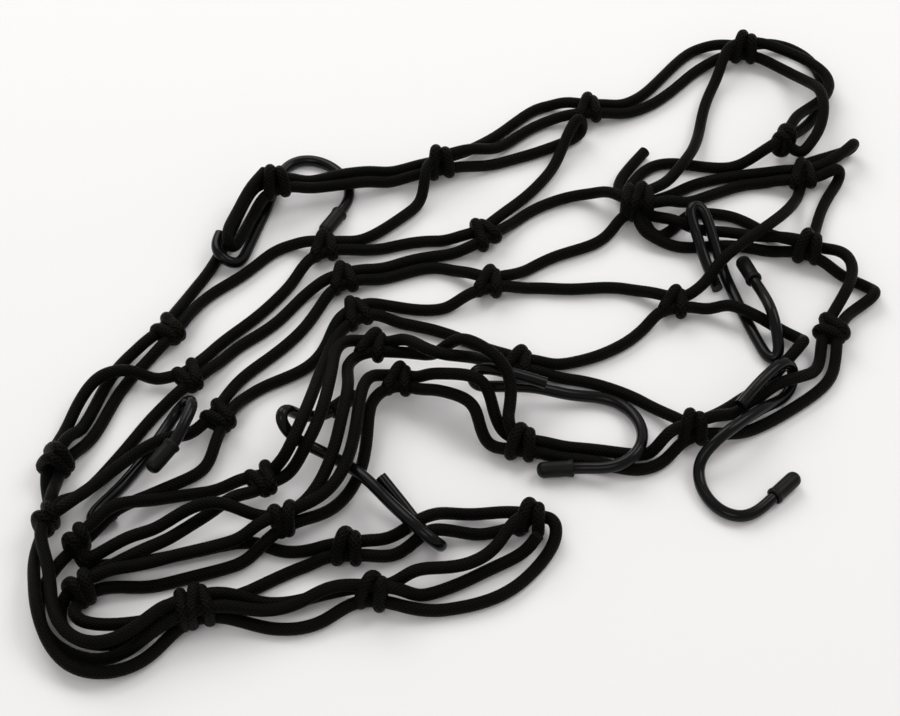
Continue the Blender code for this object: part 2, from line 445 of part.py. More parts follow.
names = list(CORDS)
lines = []
fixed = []
for name in names:
    pts, held = stations_to_points(CORDS[name])
    fine, fix = smooth(pts, held)
    line, fix = thin_out(fine, fix)
    lines.append(line)
    fixed.append(fix)
hook_names = list(HOOKS)
radii = [CORD_R] * len(names)
for name in hook_names:
    pts = np.array(HOOKS[name], float)
    axis = (pts[-1] - pts[-2]) / np.linalg.norm(pts[-1] - pts[-2])
    pts = np.vstack([pts[:-2], pts[-2] - axis * 2.0, pts[-1]])
    fine, fix = smooth(pts, [False] * (len(pts) - 2) + [True, True])
    line, fix = thin_out(fine, fix, 14.0, 20.0)
    line[:, 2] = np.maximum(line[:, 2], WIRE_R + 0.06)
    lines.append(line)
    fixed.append([True] * len(line))
    radii.append(WIRE_R)

# each knot pushes every segment except those running through it or just leaving it
first_seg = np.cumsum([0] + [len(x) - 1 for x in lines])
solids = []
for knot in KNOTS:
    for p, q, r in knot_core(knot):
        skip = []
        for k, line in enumerate(lines[:len(names)]):
            ends = []
            for lane in LANES[KNOTS[knot][4]]:
                for along in (-LANE_END, -1.0, 1.0, LANE_END):
                    spot = np.array(lane_point(knot, lane, along))
                    for i, point in enumerate(line):
                        if fixed[k][i] and np.linalg.norm(point - spot) < 1e-6:
                            ends.append(i)
            for i in ends:
                skip += [first_seg[k] + j for j in (i - 1, i) if 0 <= j < len(line) - 1]
        solids.append((p, q, r, np.array(skip, int)))
for name in hook_names:
    a, b = np.array(HOOKS[name][-2], float), np.array(HOOKS[name][-1], float)
    d = (b - a) / np.linalg.norm(b - a)
    k = len(names) + hook_names.index(name)
    own = np.arange(first_seg[k], first_seg[k + 1])
    solids.append((a, a + d * (CAP_L - 2.0), CAP_R, own))
all_lines, worst = relax(lines, fixed, radii, solids)
print("cords", len(names), "points", sum(len(x) for x in all_lines[:len(names)]), "worst overlap", round(worst, 3))


# ---------------------------------------------------------------- build the pieces
def to_metres(p):
    return Vector(((p[0] - CENTRE[0]) * MM, (p[1] - CENTRE[1]) * MM, p[2] * MM))


def tube(name, line, radius, mat, resolution=2):
    curve = bpy.data.curves.new(name, "CURVE")
    curve.dimensions = "3D"
    curve.bevel_depth = radius * MM
    curve.bevel_resolution = resolution
    curve.use_fill_caps = True
    spline = curve.splines.new("POLY")
    spline.points.add(len(line) - 1)
    for point, p in zip(spline.points, line):
        point.co = (*to_metres(p), 1.0)
    curve.materials.append(mat)
    obj = bpy.data.objects.new(name, curve)
    parts.objects.link(obj)
    return obj


def mesh_object(name, verts, faces, mat):
    mesh = bpy.data.meshes.new(name)
    mesh.from_pydata([to_metres(v) for v in verts], [], faces)
    bm = bmesh.new()
    bm.from_mesh(mesh)
    bmesh.ops.recalc_face_normals(bm, faces=bm.faces)
    bm.to_mesh(mesh)
    bm.free()
    mesh.polygons.foreach_set("use_smooth", [True] * len(mesh.polygons))
    mesh.materials.append(mat)
    obj = bpy.data.objects.new(name, mesh)
    parts.objects.link(obj)
    return obj


def outline(pattern, extra, count):
    """Rounded outline around the lanes of a pattern, in the plane across the knot."""
    spots = [(side * LANE, up * LANE) for side, up in LANES[pattern].values()]
    cx = sum(s for s, u in spots) / len(spots)
    cz = sum(u for s, u in spots) / len(spots)
    out = []
    for i in range(count):
        a = 2 * math.pi * (i + 0.5) / count
        dx, dz = math.cos(a), math.sin(a)
        # support point of the lanes in this direction, then outwards by the extra radius
        best = max(spots, key=lambda s: round(s[0] * dx + s[1] * dz, 6))
        tied = [s for s in spots if abs((s[0] - best[0]) * dx + (s[1] - best[1]) * dz) < 1e-4]
        sx = sum(s[0] for s in tied) / len(tied)
        sz = sum(s[1] for s in tied) / len(tied)
        out.append((sx + dx * extra, sz + dz * extra))
    return out


def knot_piece(knot, mat):
    """A swollen sleeve: the turns of cord drawn tight around the lanes."""
    x, y, z, heading, pattern = KNOTS[knot]
    count = 12
    c = math.cos(math.radians(heading))
    s = math.sin(math.radians(heading))
    bore = (CORD_R + 0.34) / math.cos(math.pi / count)
    rings = [(-KNOT_HALF, bore), (-KNOT_HALF, bore + 1.3), (-KNOT_HALF * 0.55, bore + KNOT_WALL),
             (KNOT_HALF * 0.55, bore + KNOT_WALL), (KNOT_HALF, bore + 1.3), (KNOT_HALF, bore)]
    verts = []
    for along, extra in rings:
        for side, up in outline(pattern, extra, count):
            verts.append((x + c * along - s * side, y + s * along + c * side, z + up))
    faces = []
    for r in range(len(rings)):
        nxt = (r + 1) % len(rings)
        for i in range(count):
            j = (i + 1) % count
            faces.append((r * count + i, r * count + j, nxt * count + j, nxt * count + i))
    return mesh_object("knot_" + knot, verts, faces, mat)


def cap_piece(name, mouth, tip, mat):
    """Rubber cap: a round-ended sleeve closed over the end of the wire."""
    a = np.array(mouth, float)
    b = np.array(tip, float)
    d = (b - a) / np.linalg.norm(b - a)
    u = np.cross(d, (0, 0, 1.0))
    u /= np.linalg.norm(u)
    v = np.cross(d, u)
    count = 12
    bore = (WIRE_R + 0.3) / math.cos(math.pi / count)
    depth = float(np.linalg.norm(b - a)) + 0.6
    rings = [(depth, 0.0), (depth, bore), (0.0, bore), (0.0, CAP_R + 0.25), (1.2, CAP_R + 0.25),
             (1.6, CAP_R), (CAP_L - 2.4, CAP_R), (CAP_L - 0.7, CAP_R * 0.78), (CAP_L, 0.0)]
    verts = []
    rows = []
    for along, r in rings:
        if r == 0.0:
            rows.append([len(verts)])
            verts.append(tuple(a + d * along))
            continue
        row = []
        for i in range(count):
            t = 2 * math.pi * i / count
            row.append(len(verts))
            verts.append(tuple(a + d * along + (u * math.cos(t) + v * math.sin(t)) * r))
        rows.append(row)
    faces = []
    for r0, r1 in zip(rows[:-1], rows[1:]):
        for i in range(count):
            j = (i + 1) % count
            if len(r0) == 1:
                faces.append((r0[0], r1[j], r1[i]))
            elif len(r1) == 1:
                faces.append((r0[i], r0[j], r1[0]))
            else:
                faces.append((r0[i], r0[j], r1[j], r1[i]))
    return mesh_object(name, verts, faces, mat)


for name, line in zip(names, all_lines):
    tube(name, line, CORD_R, material(name, CORD_BLACK, 0.7))
for knot in KNOTS:
    knot_piece(knot, material("knot_" + knot, CORD_BLACK, 0.7))
for name, line in zip(hook_names, all_lines[len(names):]):
    tube("hook_" + name, line, WIRE_R, material("hook_" + name, WIRE_BLACK, 0.25))
    rubber = material("cap_" + name, CAP_BLACK, 0.45)
    cap_piece("cap_" + name, HOOKS[name][-2], HOOKS[name][-1], rubber)
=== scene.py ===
# %% [markdown]
# # A cargo net of knotted elastic cord
# The real thing is one flat mesh of braided elastic, with six wire hooks that slide on the cords.
# Here it lies loosely gathered on a floor. We load the plain solids first, as they give the true
# place of every piece, and then make a finely finished piece over each of them.

# %% Load the solids
import bpy
import bmesh
import math
import numpy as np
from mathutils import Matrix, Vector


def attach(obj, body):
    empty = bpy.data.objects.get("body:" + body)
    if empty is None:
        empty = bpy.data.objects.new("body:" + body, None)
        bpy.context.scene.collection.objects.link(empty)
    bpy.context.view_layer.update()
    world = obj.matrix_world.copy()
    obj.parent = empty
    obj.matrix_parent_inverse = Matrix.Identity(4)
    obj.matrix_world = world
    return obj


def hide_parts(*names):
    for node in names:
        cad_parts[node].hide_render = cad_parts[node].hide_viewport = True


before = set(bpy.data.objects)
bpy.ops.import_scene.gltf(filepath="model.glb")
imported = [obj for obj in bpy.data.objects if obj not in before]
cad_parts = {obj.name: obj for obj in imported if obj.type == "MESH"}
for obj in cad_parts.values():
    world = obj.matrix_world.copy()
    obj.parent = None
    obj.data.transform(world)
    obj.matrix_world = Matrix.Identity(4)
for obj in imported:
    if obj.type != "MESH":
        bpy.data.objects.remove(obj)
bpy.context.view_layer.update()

# %% [markdown]
# ## Camera
# A product shot of something flat is taken from above the front edge, with a long lens that keeps
# far and near cords the same size. We place the camera by an angle and a distance, so that it is
# easy to reason about: 50 degrees up, 0.86 m away, looking at the middle of the layout grid.

# %% Camera
def placed(name, data):
    """Put data into the scene as an object of its own, at the origin."""
    obj = bpy.data.objects.new(name, data)
    bpy.context.scene.collection.objects.link(obj)
    return obj


MM = 0.001
CENTRE = (8.379, 15.280)        # middle of the net on the layout grid, millimetres
LENS = 90.0
DISTANCE = 0.860
LOOK_DOWN = math.radians(50)

camera_data = bpy.data.cameras.new("camera")
camera_data.lens = LENS
camera_data.sensor_width = 36.0
camera = placed("camera", camera_data)
back = -CENTRE[1] * MM - DISTANCE * math.cos(LOOK_DOWN)
camera.location = (-CENTRE[0] * MM, back, DISTANCE * math.sin(LOOK_DOWN))
camera.rotation_euler = (math.pi / 2 - LOOK_DOWN, 0, 0)
bpy.context.scene.camera = camera
print("camera at", [round(v, 3) for v in camera.location])

# %% [markdown]
# ## Sizes
# All given sizes are in millimetres, as a maker would write them, and are turned into metres
# only when a piece is built.

# %% Sizes
CORD_R = 2.5            # elastic cord, 5 mm across
WIRE_R = 2.2            # coated hook wire
CAP_R = 3.0             # rubber cap on the big end of a hook
CAP_L = 13.5
GAP = 0.36              # air between neighbouring pieces
LANE = 5.4              # spacing of two cords lying side by side in a knot
KNOT_WALL = 2.9         # thickness of the turns around the cords
KNOT_HALF = 5.0         # half the length of a knot along its cords
LANE_END = 6.4          # a cord leaves a knot straight for this far
STEP_LONG = 13.0        # point spacing on straight runs
TURN = 24.0             # degrees of bend between two points
HOOK_STEP = 14.0        # the same two for the wire of a hook
HOOK_TURN = 20.0
OFF_FLOOR = 0.06        # cords and wires start this far above the floor
print("cord", 2 * CORD_R, "mm, wire", 2 * WIRE_R, "mm")

# %% [markdown]
# ## Where the knots and cords lie
# A net is a table of knots and a list of cords that thread through them. Each knot holds its cords
# in lanes, side by side or stacked. Writing the route as "through knot 21, right lane" keeps a
# cord and its knot together when either is moved.

# %% Knots and lanes
# name: x, y, height of the low lanes, heading in degrees, lane pattern
KNOTS = {
    "1": (-70, 81.5, 11, 20, "three"),
    "2": (-4, 98, 5.65, 14, "three"),
    "3": (58, 131, 5.65, 4, "two"),
    "4": (126, 167, 5.65, -4, "three"),
    "5": (137, 109.5, 5.65, 240, "stack"),
    "6": (143.5, 92.5, 5.65, 5, "two"),
    "7": (75.5, 74, 5.65, -5, "four"),
    "8": (13.5, 59.5, 5.65, 42, "two"),
    "9": (-49.5, 52.6, 5.65, 8, "two"),
    "10": (-41.5, 35.6, 5.65, 15, "two"),
    "11": (15.5, 33.5, 5.65, -4, "two"),
    "12": (87, 23, 5.65, -8, "two"),
    "13": (141.5, 51, 5.65, -10, "three"),
    "14": (146, 9, 5.65, 243, "two"),
    "15": (-36, 17, 6.5, 30, "two"),
    "16": (-29, -3.5, 11, -12, "two"),
    "17": (-19, -18.5, 9, -4, "two"),
    "18": (26, -7.5, 5.65, -14, "two"),
    "19": (89.5, -39.5, 5.65, 4, "three"),
    "20": (26.5, -46.5, 5.65, -8, "three"),
    "21": (-107.5, 9, 5.65, 240, "two"),
    "22": (-98, -14, 5.65, 222, "two"),
    "23": (-85.5, -33.5, 5.65, 238, "two"),
    "24": (-143.5, -55, 5.65, 253, "three"),
    "25": (-67.5, -65, 9, 220, "two"),
    "26": (-59, -83, 9, 200, "three"),
    "27": (-143.5, -82, 5.65, 240, "stack"),
    "28": (-131.5, -91.5, 5.65, 235, "stack"),
    "29": (-128.5, -110.5, 5.65, 222, "three"),
    "30": (-88, -119.5, 5.65, 15, "four"),
    "31": (-36, -93, 5.65, -2, "three"),
    "32": (-26.5, -112, 5.65, -12, "three"),
    "33": (29, -80.5, 5.65, -5, "three"),
}

# lane patterns: sideways and upward offsets of each lane, in lane widths
LANES = {
    "two": {"l": (0.5, 0.0), "r": (-0.5, 0.0)},
    "stack": {"l": (0.0, 0.0), "r": (0.0, 1.0)},
    "three": {"l": (0.5, 0.0), "r": (-0.5, 0.0), "t": (0.0, 0.87)},
    "four": {"l": (0.5, 0.0), "r": (-0.5, 0.0), "L": (0.5, 1.0), "R": (-0.5, 1.0)},
}
print(len(KNOTS), "knots")

# %% [markdown]
# ## The cords' routes
# Between two knots a cord wanders freely, so its route is a list of places that it passes. Most of
# them lie on the floor, and those need no height.

# %% Routes of the cords
# a cord is a list of stations: (x, y) on the floor, (x, y, z), or (knot, lane, direction), where
# direction 1 runs with the knot's heading; a cord that starts or ends in a knot says so as well
ON_FLOOR = 2.7          # height of a cord's middle where it lies on the floor
S, E = "start", "end"
CORDS = {
    "cord_top_edge": [
        ("24", "t", -1, S), (-137.5, -43, 5), (-134.5, -33, 3), (-131.5, -23, 2.6), (-128, -12, 2.6),
        (-123, -3, 3), (-118, 3, 4), ("21", "r", -1), (-101.5, 28, 3), (-96, 37, 2.6), (-91.5, 47, 2.6),
        (-87.5, 58, 2.8), (-84, 68, 3.5), (-81, 75, 6), ("1", "l", 1), (-58, 86, 7), (-46, 89.5, 7),
        (-37, 92, 7), (-26, 95.5, 3.5), ("2", "l", 1), (9, 110, 3.5), (20, 117.5), (30, 127.5),
        (37.5, 134), (43.5, 137), (48, 136.5, 4), ("3", "l", 1), (71, 135, 3.5), (79, 139, 2.8),
        (86, 146), (93, 155), (102, 165), (110, 171.5, 3), ("4", "l", 1), (139, 174, 4), (146, 172),
        (153, 165, 2.6), (157, 157, 2.6), (157.5, 148, 2.6), (156.5, 139, 2.6), (152.5, 129, 2.6),
        (147, 122.5, 3), ("5", "l", 1, E)],
    "cord_left_loop": [
        ("1", "t", -1, S), (-79, 74, 13), (-82.5, 66, 12), (-85.5, 58, 12), (-86.5, 52.5, 11),
        (-85, 49.5, 8.5), (-83, 53.5, 7.6), (-80, 61, 7.6), (-76.5, 70, 8), ("1", "r", 1), (-57, 82, 8),
        (-46, 84.8, 7), (-36, 87, 7), (-26, 89.5, 4), ("2", "r", 1), (11, 99, 3.5), (22, 103),
        (33, 107.5), (43, 112), (51, 117), (55.5, 120, 4.5), (54, 121.5, 10), (50.5, 116.5, 9),
        (47.5, 109, 5), (44, 101.5, 3), (39, 92.5), (32.5, 83), (25, 75, 3.5), ("8", "l", -1),
        (0, 59.5, 3), (-11, 59), (-21, 56.5), (-32, 52.5, 3), ("9", "r", -1), (-59, 38, 3), (-66, 28),
        (-73, 18.5), (-82, 9.5), (-90, 1, 3), ("22", "r", 1), (-110, -12, 3), (-119, -13.5, 7.6),
        (-128, -16, 7.8), (-134, -24, 6), (-137.5, -32, 4), (-141, -41, 4), ("24", "r", 1),
        (-146.5, -68, 4), ("27", "l", 1, E)],
    "cord_second_edge": [
        (-141.5, -72.5, 8), (-141, -67, 5.5), ("24", "l", -1), (-134, -43, 3.5), (-130, -32),
        (-126, -21), (-119, -9.5), (-115, -2, 3.5), ("21", "l", -1), (-97, 26.5, 3), (-88, 34),
        (-80.5, 39.5), (-73, 48), (-65, 55.5), (-58, 58, 3.5), ("9", "l", 1), (-36, 57.5, 3), (-27, 64),
        (-17, 73), (-10, 81, 2.8), (-8.5, 88, 8), ("2", "t", 1), (9, 104.5, 7), (20, 110.5, 3),
        (31, 120), (41, 127.5), ("3", "r", 1), (71, 130.5, 3.5), (80, 134.5), (90, 142), (100, 152.5),
        (109, 161.5, 3), ("4", "r", 1), (138, 160, 4), (144, 153, 5), (149, 144.5, 8), (153, 136, 12),
        (154, 127, 12), (152.5, 118, 9), (148.5, 110.5, 7), (143.8, 106.5, 6)],
    "cord_far_loop": [
        ("7", "L", 1, S), (85, 83, 9), (91, 91, 8.5), (97, 101, 8), (101.5, 112, 4), (105, 126),
        (109, 140), (114, 150), (118, 157, 6), ("4", "t", 1), (138, 165.5, 8), (147, 161, 8),
        (155, 153.5, 8), (159.5, 145, 8), (157, 136, 7.7), (150, 130, 7.7), (143.5, 124, 9),
        ("5", "r", 1), (127, 100.5, 9), (118, 97, 3), (108, 96.5), (97, 99.5), (87, 100.5), (79.5, 97),
        (75, 90, 3), (74.5, 85.5, 3.5)],
    "cord_tail": [
        (81.5, 107.5, 3), (77, 101.5), (72.5, 94, 3), (68.5, 85, 4.5), ("7", "l", 1), (88, 83, 3.5),
        (97, 89), (107, 93), (118, 94), (129, 96, 3.5), ("6", "l", 1), (155, 98.5, 7),
        (162, 104.5, 8.5), (166.5, 109.5, 7.5), (164.5, 110, 2.8), (158, 107, 2.6), (151, 104.5, 2.8),
        (146, 104, 3)],
    "cord_third": [
        (-99, -123.5, 9), (-105, -129, 8.5), (-113, -134, 8), (-121, -134.5, 8), (-129, -130.5, 8.5),
        (-134.5, -121.5, 9.5), (-137, -110, 8.5), (-140, -98, 10.5), ("27", "r", -1), (-137, -74, 6),
        (-130.5, -63.5, 3), (-122.5, -51), (-114.5, -37.5), (-107, -25, 3), ("22", "l", -1),
        (-86.5, -1, 3), (-78, 6), (-69.5, 13), (-62, 22), (-54.5, 33, 3.5), ("10", "l", 1),
        (-27, 43, 3), (-15, 49), (-4, 51.5), (4, 53, 3), ("8", "r", 1), (25, 69, 3), (32, 74.5),
        (41, 79), (51, 83), (60, 83, 4), (67, 78, 9), ("7", "R", 1), (88, 74.5, 9.5), (97, 81, 4),
        (109, 87.5), (120, 93), (130, 95, 3), ("6", "r", 1), (156, 93.5, 8), (160.5, 96, 8),
        (158.5, 93.5, 3.5), (154, 87), (150, 78), (147.5, 70), (146, 63.5, 3)],
    "cord_fourth": [
        (-136.5, -76.5, 12), (-130, -67, 8.5), (-121.5, -58, 7.8), (-113.5, -49.5, 8), (-104, -44, 8),
        (-95, -39, 4), ("23", "r", -1), (-78.5, -13.5, 3), (-69, -4), (-59.5, 6.5), (-52.5, 16),
        (-48.5, 26, 3), ("10", "r", 1), (-27, 37, 3), (-16, 41.5), (-5, 44.5), (4, 42.5),
        ("11", "l", 1), (29, 42), (40, 49), (52, 54), (62, 58), (67, 64, 3), ("7", "r", 1), (89, 64, 3),
        (98, 62), (107, 62.5), (116, 61, 3.5), (125, 57, 7), ("13", "t", 1, E)],
    "cord_fifth": [
        (30, -87.5, 9.5), (28, -90, 5), (23, -92.5, 3), (14, -97.5), (4, -104), (-6, -108),
        (-14, -111.5, 4), ("32", "t", -1), (-42, -112, 8), (-52, -116.5, 7), (-64, -120, 7),
        ("30", "R", -1), (-102, -131, 9), (-110, -135, 5), (-119, -137, 2.8), (-128, -134, 2.8),
        (-135.5, -127, 2.8), (-139.5, -116, 2.8), (-139.5, -104, 3.5), ("28", "l", -1),
        (-122.5, -78, 5), (-111, -69, 3), (-98.5, -61.5), (-88, -53), ("23", "l", -1), (-77, -20.5, 3),
        (-67, -14), (-56, -8), (-48.5, -1), (-45, 8, 3), ("15", "l", 1), (-20, 21, 3), (-9, 21.5),
        (2, 22), ("11", "r", 1), (31, 35), (46, 33), (61, 34), (74, 33), ("12", "l", 1), (100, 36, 3.5),
        (108, 42.5, 7.8), (117, 50, 9), (126, 57.5, 9), (134, 68, 8), (139, 79, 5), (140.5, 83.5, 3)],
    "cord_sixth": [
        ("28", "r", -1, S), (-121, -79, 12.5), (-111, -73.5, 8), (-99.5, -68, 4.5), (-88.5, -64.5),
        (-80, -64.5, 5), ("25", "r", -1), (-60.5, -63, 14), (-56, -55, 20), (-52.5, -45, 21),
        (-50, -34, 19), (-48, -21, 15), (-45.5, -7, 10), ("15", "r", 1), (-22, 15.5, 3), (-12, 13),
        (-1, 10), (9, 4), ("18", "l", 1), (40, -6.5, 3), (51, -4), (61, 0), (71, 6.5), (79, 14.5, 3),
        ("12", "r", 1), (101, 23, 4), (108, 20.5, 7.8), (115, 17, 8), (123, 12.5, 6.2), (131, 8.5, 4),
        (137, 4.5, 5), (135, 0.5, 8.5), (130.5, -4.5, 7.8), (124.5, -10.5, 4), (118, -16.5), (111, -22),
        (104, -26, 3), ("19", "l", -1, E)],
    "cord_middle": [
        ("19", "l", -1, S), (75, -28.5, 3), (63, -22.5), (50, -15.5), (41, -12, 3), ("18", "r", -1),
        (12, -13, 14), (4, -17.5, 20), (-5, -18, 21), (-13, -13, 18), ("16", "l", -1), (-41, -6, 13),
        (-43.5, -19, 17), (-45.5, -32, 21), (-48.5, -46, 21.5), (-54, -58, 18), ("25", "l", 1),
        (-77, -75, 12), (-88, -80, 8), (-99, -88.5, 7), (-111, -97.5, 7), ("29", "r", 1),
        (-136, -120, 3), (-133.5, -126.5), (-127, -130), (-118, -131), (-109, -128, 3.5),
        ("30", "L", 1), (-76, -116.5, 9), (-64, -115.5, 4), (-52, -114, 3), (-42, -111, 3),
        ("32", "l", 1), (-16, -104, 7.8), (-6, -103.5, 7.7), (4, -102.5, 7), (14, -96, 6), (21, -90, 8),
        ("33", "t", 1, E)],
    "cord_inner": [
        (81.5, 67.5, 4), (88, 69.5, 3), (94, 75, 3), (103, 74.5), (111, 74), (119, 69.5), (127, 62),
        ("13", "l", 1), (152.5, 48.5, 7.8), (157, 41.5, 8), (155.5, 32, 8), (152, 22, 8),
        ("14", "r", 1), (141, -3, 3), (137, -9), (130, -15.5, 6), (121.5, -20.5, 7.8), (112, -27, 5),
        (103, -34, 6), ("19", "t", -1), (76, -44.5, 6), (66, -47.5), (54, -47), (43, -46),
        ("20", "l", -1), (17.5, -42.5, 9), (16.5, -37, 14.5), (14.5, -30.5, 19), (8, -27.5, 21.5),
        (-1, -25.5, 20), (-10, -20.5, 14.5), ("17", "l", -1), (-30, -22, 13), (-32.5, -35, 15),
        (-34, -48, 15), (-37, -60, 13), (-43, -71, 12), ("26", "t", 1), (-71, -90, 9), (-82, -94, 7.6),
        (-94, -97, 7.6), (-106, -101.5, 7.6), (-116, -105, 9), ("29", "t", 1, E)],
    "cord_outer": [
        (81.5, 62, 4), (89, 56.5), (98, 56), (108, 57.5), (118, 56), (129, 52, 3), ("13", "r", 1),
        (151, 41, 3), (157, 36.5), (164, 33, 3), (165.5, 29.5, 5), (160, 25.5, 4), (154, 21.5, 4),
        ("14", "l", 1), (145.5, -3.5, 3), (142, -11), (134, -18), (125, -24.5), (115, -32),
        (105, -38.5, 3), ("19", "r", -1), (77, -49, 3), (66, -53), (54, -52.5), (42, -51.5, 3),
        ("20", "r", -1), (14, -45, 4.5), (11.5, -40, 11), (9.9, -34.7, 14.5), (5, -31.5, 15.5),
        (-1.5, -29.5, 15), (-8, -25, 12.5), ("17", "r", -1), (-28, -29, 11), (-29.5, -40, 12),
        (-31.5, -52, 11), (-36, -65, 8.5), (-44, -76, 7.5), ("26", "l", 1), (-71, -97, 4),
        (-83, -100.5, 3), (-95, -104), (-108, -108), ("29", "l", 1), (-132.5, -120.5, 6.5),
        (-128.5, -126, 8), (-120, -127.5, 7.8), (-110, -124, 4), (-102, -121, 3), ("30", "l", 1),
        (-74, -111, 3), (-64, -106), (-54, -100), (-46, -96.5, 3), ("31", "r", 1), (-20, -94.5, 3),
        (-14, -92, 4.5), (-7.5, -87.5, 7.6), (3, -84.5, 4), (14, -86, 3), ("33", "r", 1, E)],
    "cord_bottom_edge": [
        (-128, -98.5, 3), (-119, -99.5), (-106, -96), (-92, -92.5), (-80, -89.5), (-69, -88, 2.8),
        (-59, -92.5, 3), (-49.5, -89.5, 3), ("31", "l", 1), (-22, -86.5, 3.5), (-13, -84, 7.5),
        (-6, -79, 6), (2, -76, 3), (12, -77), ("33", "l", 1), (39, -78.5, 8), (38, -84, 5),
        (33, -91.5, 3), (28, -99), (20, -106.5), (9, -111.5), (-3, -113.5), ("32", "r", -1),
        (-42, -121.5, 3), (-52, -124.5), (-64, -124), ("30", "r", -1), (-102, -136, 3), (-111, -141),
        (-120, -142.5), (-129, -139.5), (-136, -131, 3.5), (-141.5, -119, 7.6), (-144, -107, 7),
        (-146.5, -96, 5), ("27", "l", -1, E)],
    "cord_folded": [
        (-124.5, -99, 8), (-113, -93.5, 11), (-102, -87, 9), (-91, -82.5, 14), (-80, -81, 15.5),
        ("26", "r", -1), (-44, -67, 14), (-39.5, -55, 19), (-37.5, -42, 21), (-35.5, -29, 20),
        (-36.5, -16, 14), ("16", "r", 1), (-12, -9, 14), (-6, -12.5, 17), (3, -13, 26), (13, -18, 26),
        (21.5, -25, 21), (22.5, -33, 15), (20, -38.5, 12), (17.5, -45, 12.5), ("20", "t", 1, E)],
}
print(len(CORDS), "cords")

# %% [markdown]
# ## Where the hooks lie
# A hook is a bent wire, so its route is a list of points from its plain end to the end in its cap.

# %% Routes of the hooks
# stations of each wire; the last two are the mouth of its cap and its end inside the cap
HOOKS = {
    "a": [
        (-91, 57.5, 8), (-92.5, 51.5, 8), (-90.5, 46, 7.6), (-86.5, 44, 5.5), (-83, 46, 3),
        (-81, 52, 2.4), (-77.5, 64, 2.4), (-73.5, 78, 2.4), (-71, 89.5, 2.4), (-69, 97, 2.4),
        (-65.5, 102, 2.4), (-60.5, 104.3, 2.4), (-55, 103.8, 2.4), (-49.5, 101, 2.4), (-44.5, 96, 2.4),
        (-41.3, 90, 2.4), (-40.7, 83.5, 2.4), (-42.2, 77.5, 2.9), (-44.2, 73.4, 3.4),
        (-46.8, 68.7, 3.5)],
    "b": [
        (107, -32.5, 12), (113.5, -25, 13.5), (120.5, -17, 14), (126.5, -11.5, 11.5),
        (129.5, -11.5, 6.5), (128.5, -17, 2.5), (124.5, -22.5, 2.7), (118.5, -29, 7.8),
        (110, -37.5, 11), (101.5, -45, 12), (95, -50, 9.5), (91, -54, 5.5), (90.5, -60, 3.2),
        (92.5, -67.5, 2.8), (98.5, -75, 2.8), (105.5, -77, 2.8), (111.5, -74, 3), (117, -68.5, 3.4),
        (122.5, -63, 3.6)],
    "c": [
        (104.5, 33, 2.8), (101, 45, 4), (97.5, 56, 9.5), (95, 63, 13), (95.5, 67.5, 14.5),
        (99.5, 67.5, 14), (102, 60, 11), (105, 52.5, 6.5), (107.5, 43, 2.6), (110, 33, 2.5),
        (113.5, 20, 2.5), (118.5, 5.5, 2.5), (121.5, -3, 2.6), (124.5, -4, 2.7), (125, 3, 6.5),
        (123, 14, 11.6), (120.5, 25, 9.5), (118.5, 33.5, 7), (116, 41.5, 6)],
    "d": [
        (35.5, -23.5, 13.5), (24, -22, 17), (14, -21.5, 20), (8.5, -22.5, 20), (8, -25.5, 15.5),
        (14.5, -24, 12), (24, -21.5, 10), (38, -21, 6), (49, -22, 3.5), (59, -22.5, 3), (66, -27, 3.2),
        (70, -34.5, 4.5), (71, -42, 6.5), (69.5, -49.5, 8.2), (65, -55.5, 8), (58, -57.5, 6.5),
        (51, -56.5, 5), (45, -56.3, 4.6), (37, -56.8, 4.5)],
    "e": [
        (-25, -65, 11), (-18, -73, 7.5), (-11.5, -80.5, 3.5), (-7.5, -85.5, 2.4), (-3.5, -89.5, 3),
        (-2.5, -92.5, 6.5), (-5.5, -93.5, 11), (-11, -89.5, 13), (-19, -80.5, 12.5), (-27, -71, 13),
        (-34, -62.5, 12), (-42, -55.5, 9.5), (-50, -52.5, 12.5), (-56, -52, 16.5), (-60.5, -49.5, 21.5),
        (-61.5, -47, 25), (-60, -44.5, 24.5), (-57.5, -42.5, 20), (-54.5, -40, 15), (-51, -37.5, 11),
        (-47.5, -35, 8.5), (-44, -32, 7.5), (-39, -26.5, 6.5)],
    "f": [
        (-121, -75.5, 2.6), (-125, -79.5, 2.6), (-128.5, -80.5, 2.6), (-129.5, -77, 2.5),
        (-125, -70.5, 2.4), (-117.5, -60, 2.5), (-111.5, -49, 2.5), (-106, -38, 2.8),
        (-102.5, -31.5, 4), (-99, -29, 8), (-95.5, -31, 13), (-94.5, -36, 15.5), (-96, -41.5, 15.5),
        (-98, -46.5, 14.5), (-100.5, -51.5, 13), (-105.5, -58, 11.5)],
}
print(len(HOOKS), "hooks")

# %% [markdown]
# ## From stations to a smooth line
# A cord under light tension bends evenly, so its line is a spline through the stations. Inside a
# knot it is held straight. A centripetal Catmull-Rom spline passes through every station without
# loops or overshoot, which is why it suits listed points.

# %% Lines through the stations
def lane_point(knot, lane, along):
    """A point of one lane of a knot, measured along the knot's heading."""
    x, y, z, heading, pattern = KNOTS[knot]
    side, up = LANES[pattern][lane]
    c = math.cos(math.radians(heading))
    s = math.sin(math.radians(heading))
    return (x + c * along - s * side * LANE, y + s * along + c * side * LANE, z + up * LANE)


def stations_to_points(stations):
    """Expand the stations of a cord: points, and whether each one is held by a knot."""
    points = []
    held = []
    for st in stations:
        if isinstance(st[0], str):
            knot, lane, way, *what = st
            first = 1.0 if S in what else -LANE_END
            last = -1.0 if E in what else LANE_END
            for along in (first, last):
                points.append(lane_point(knot, lane, along * way))
                held.append(True)
        else:
            points.append(st if len(st) == 3 else (*st, ON_FLOOR))
            held.append(False)
    return np.array(points, float), held


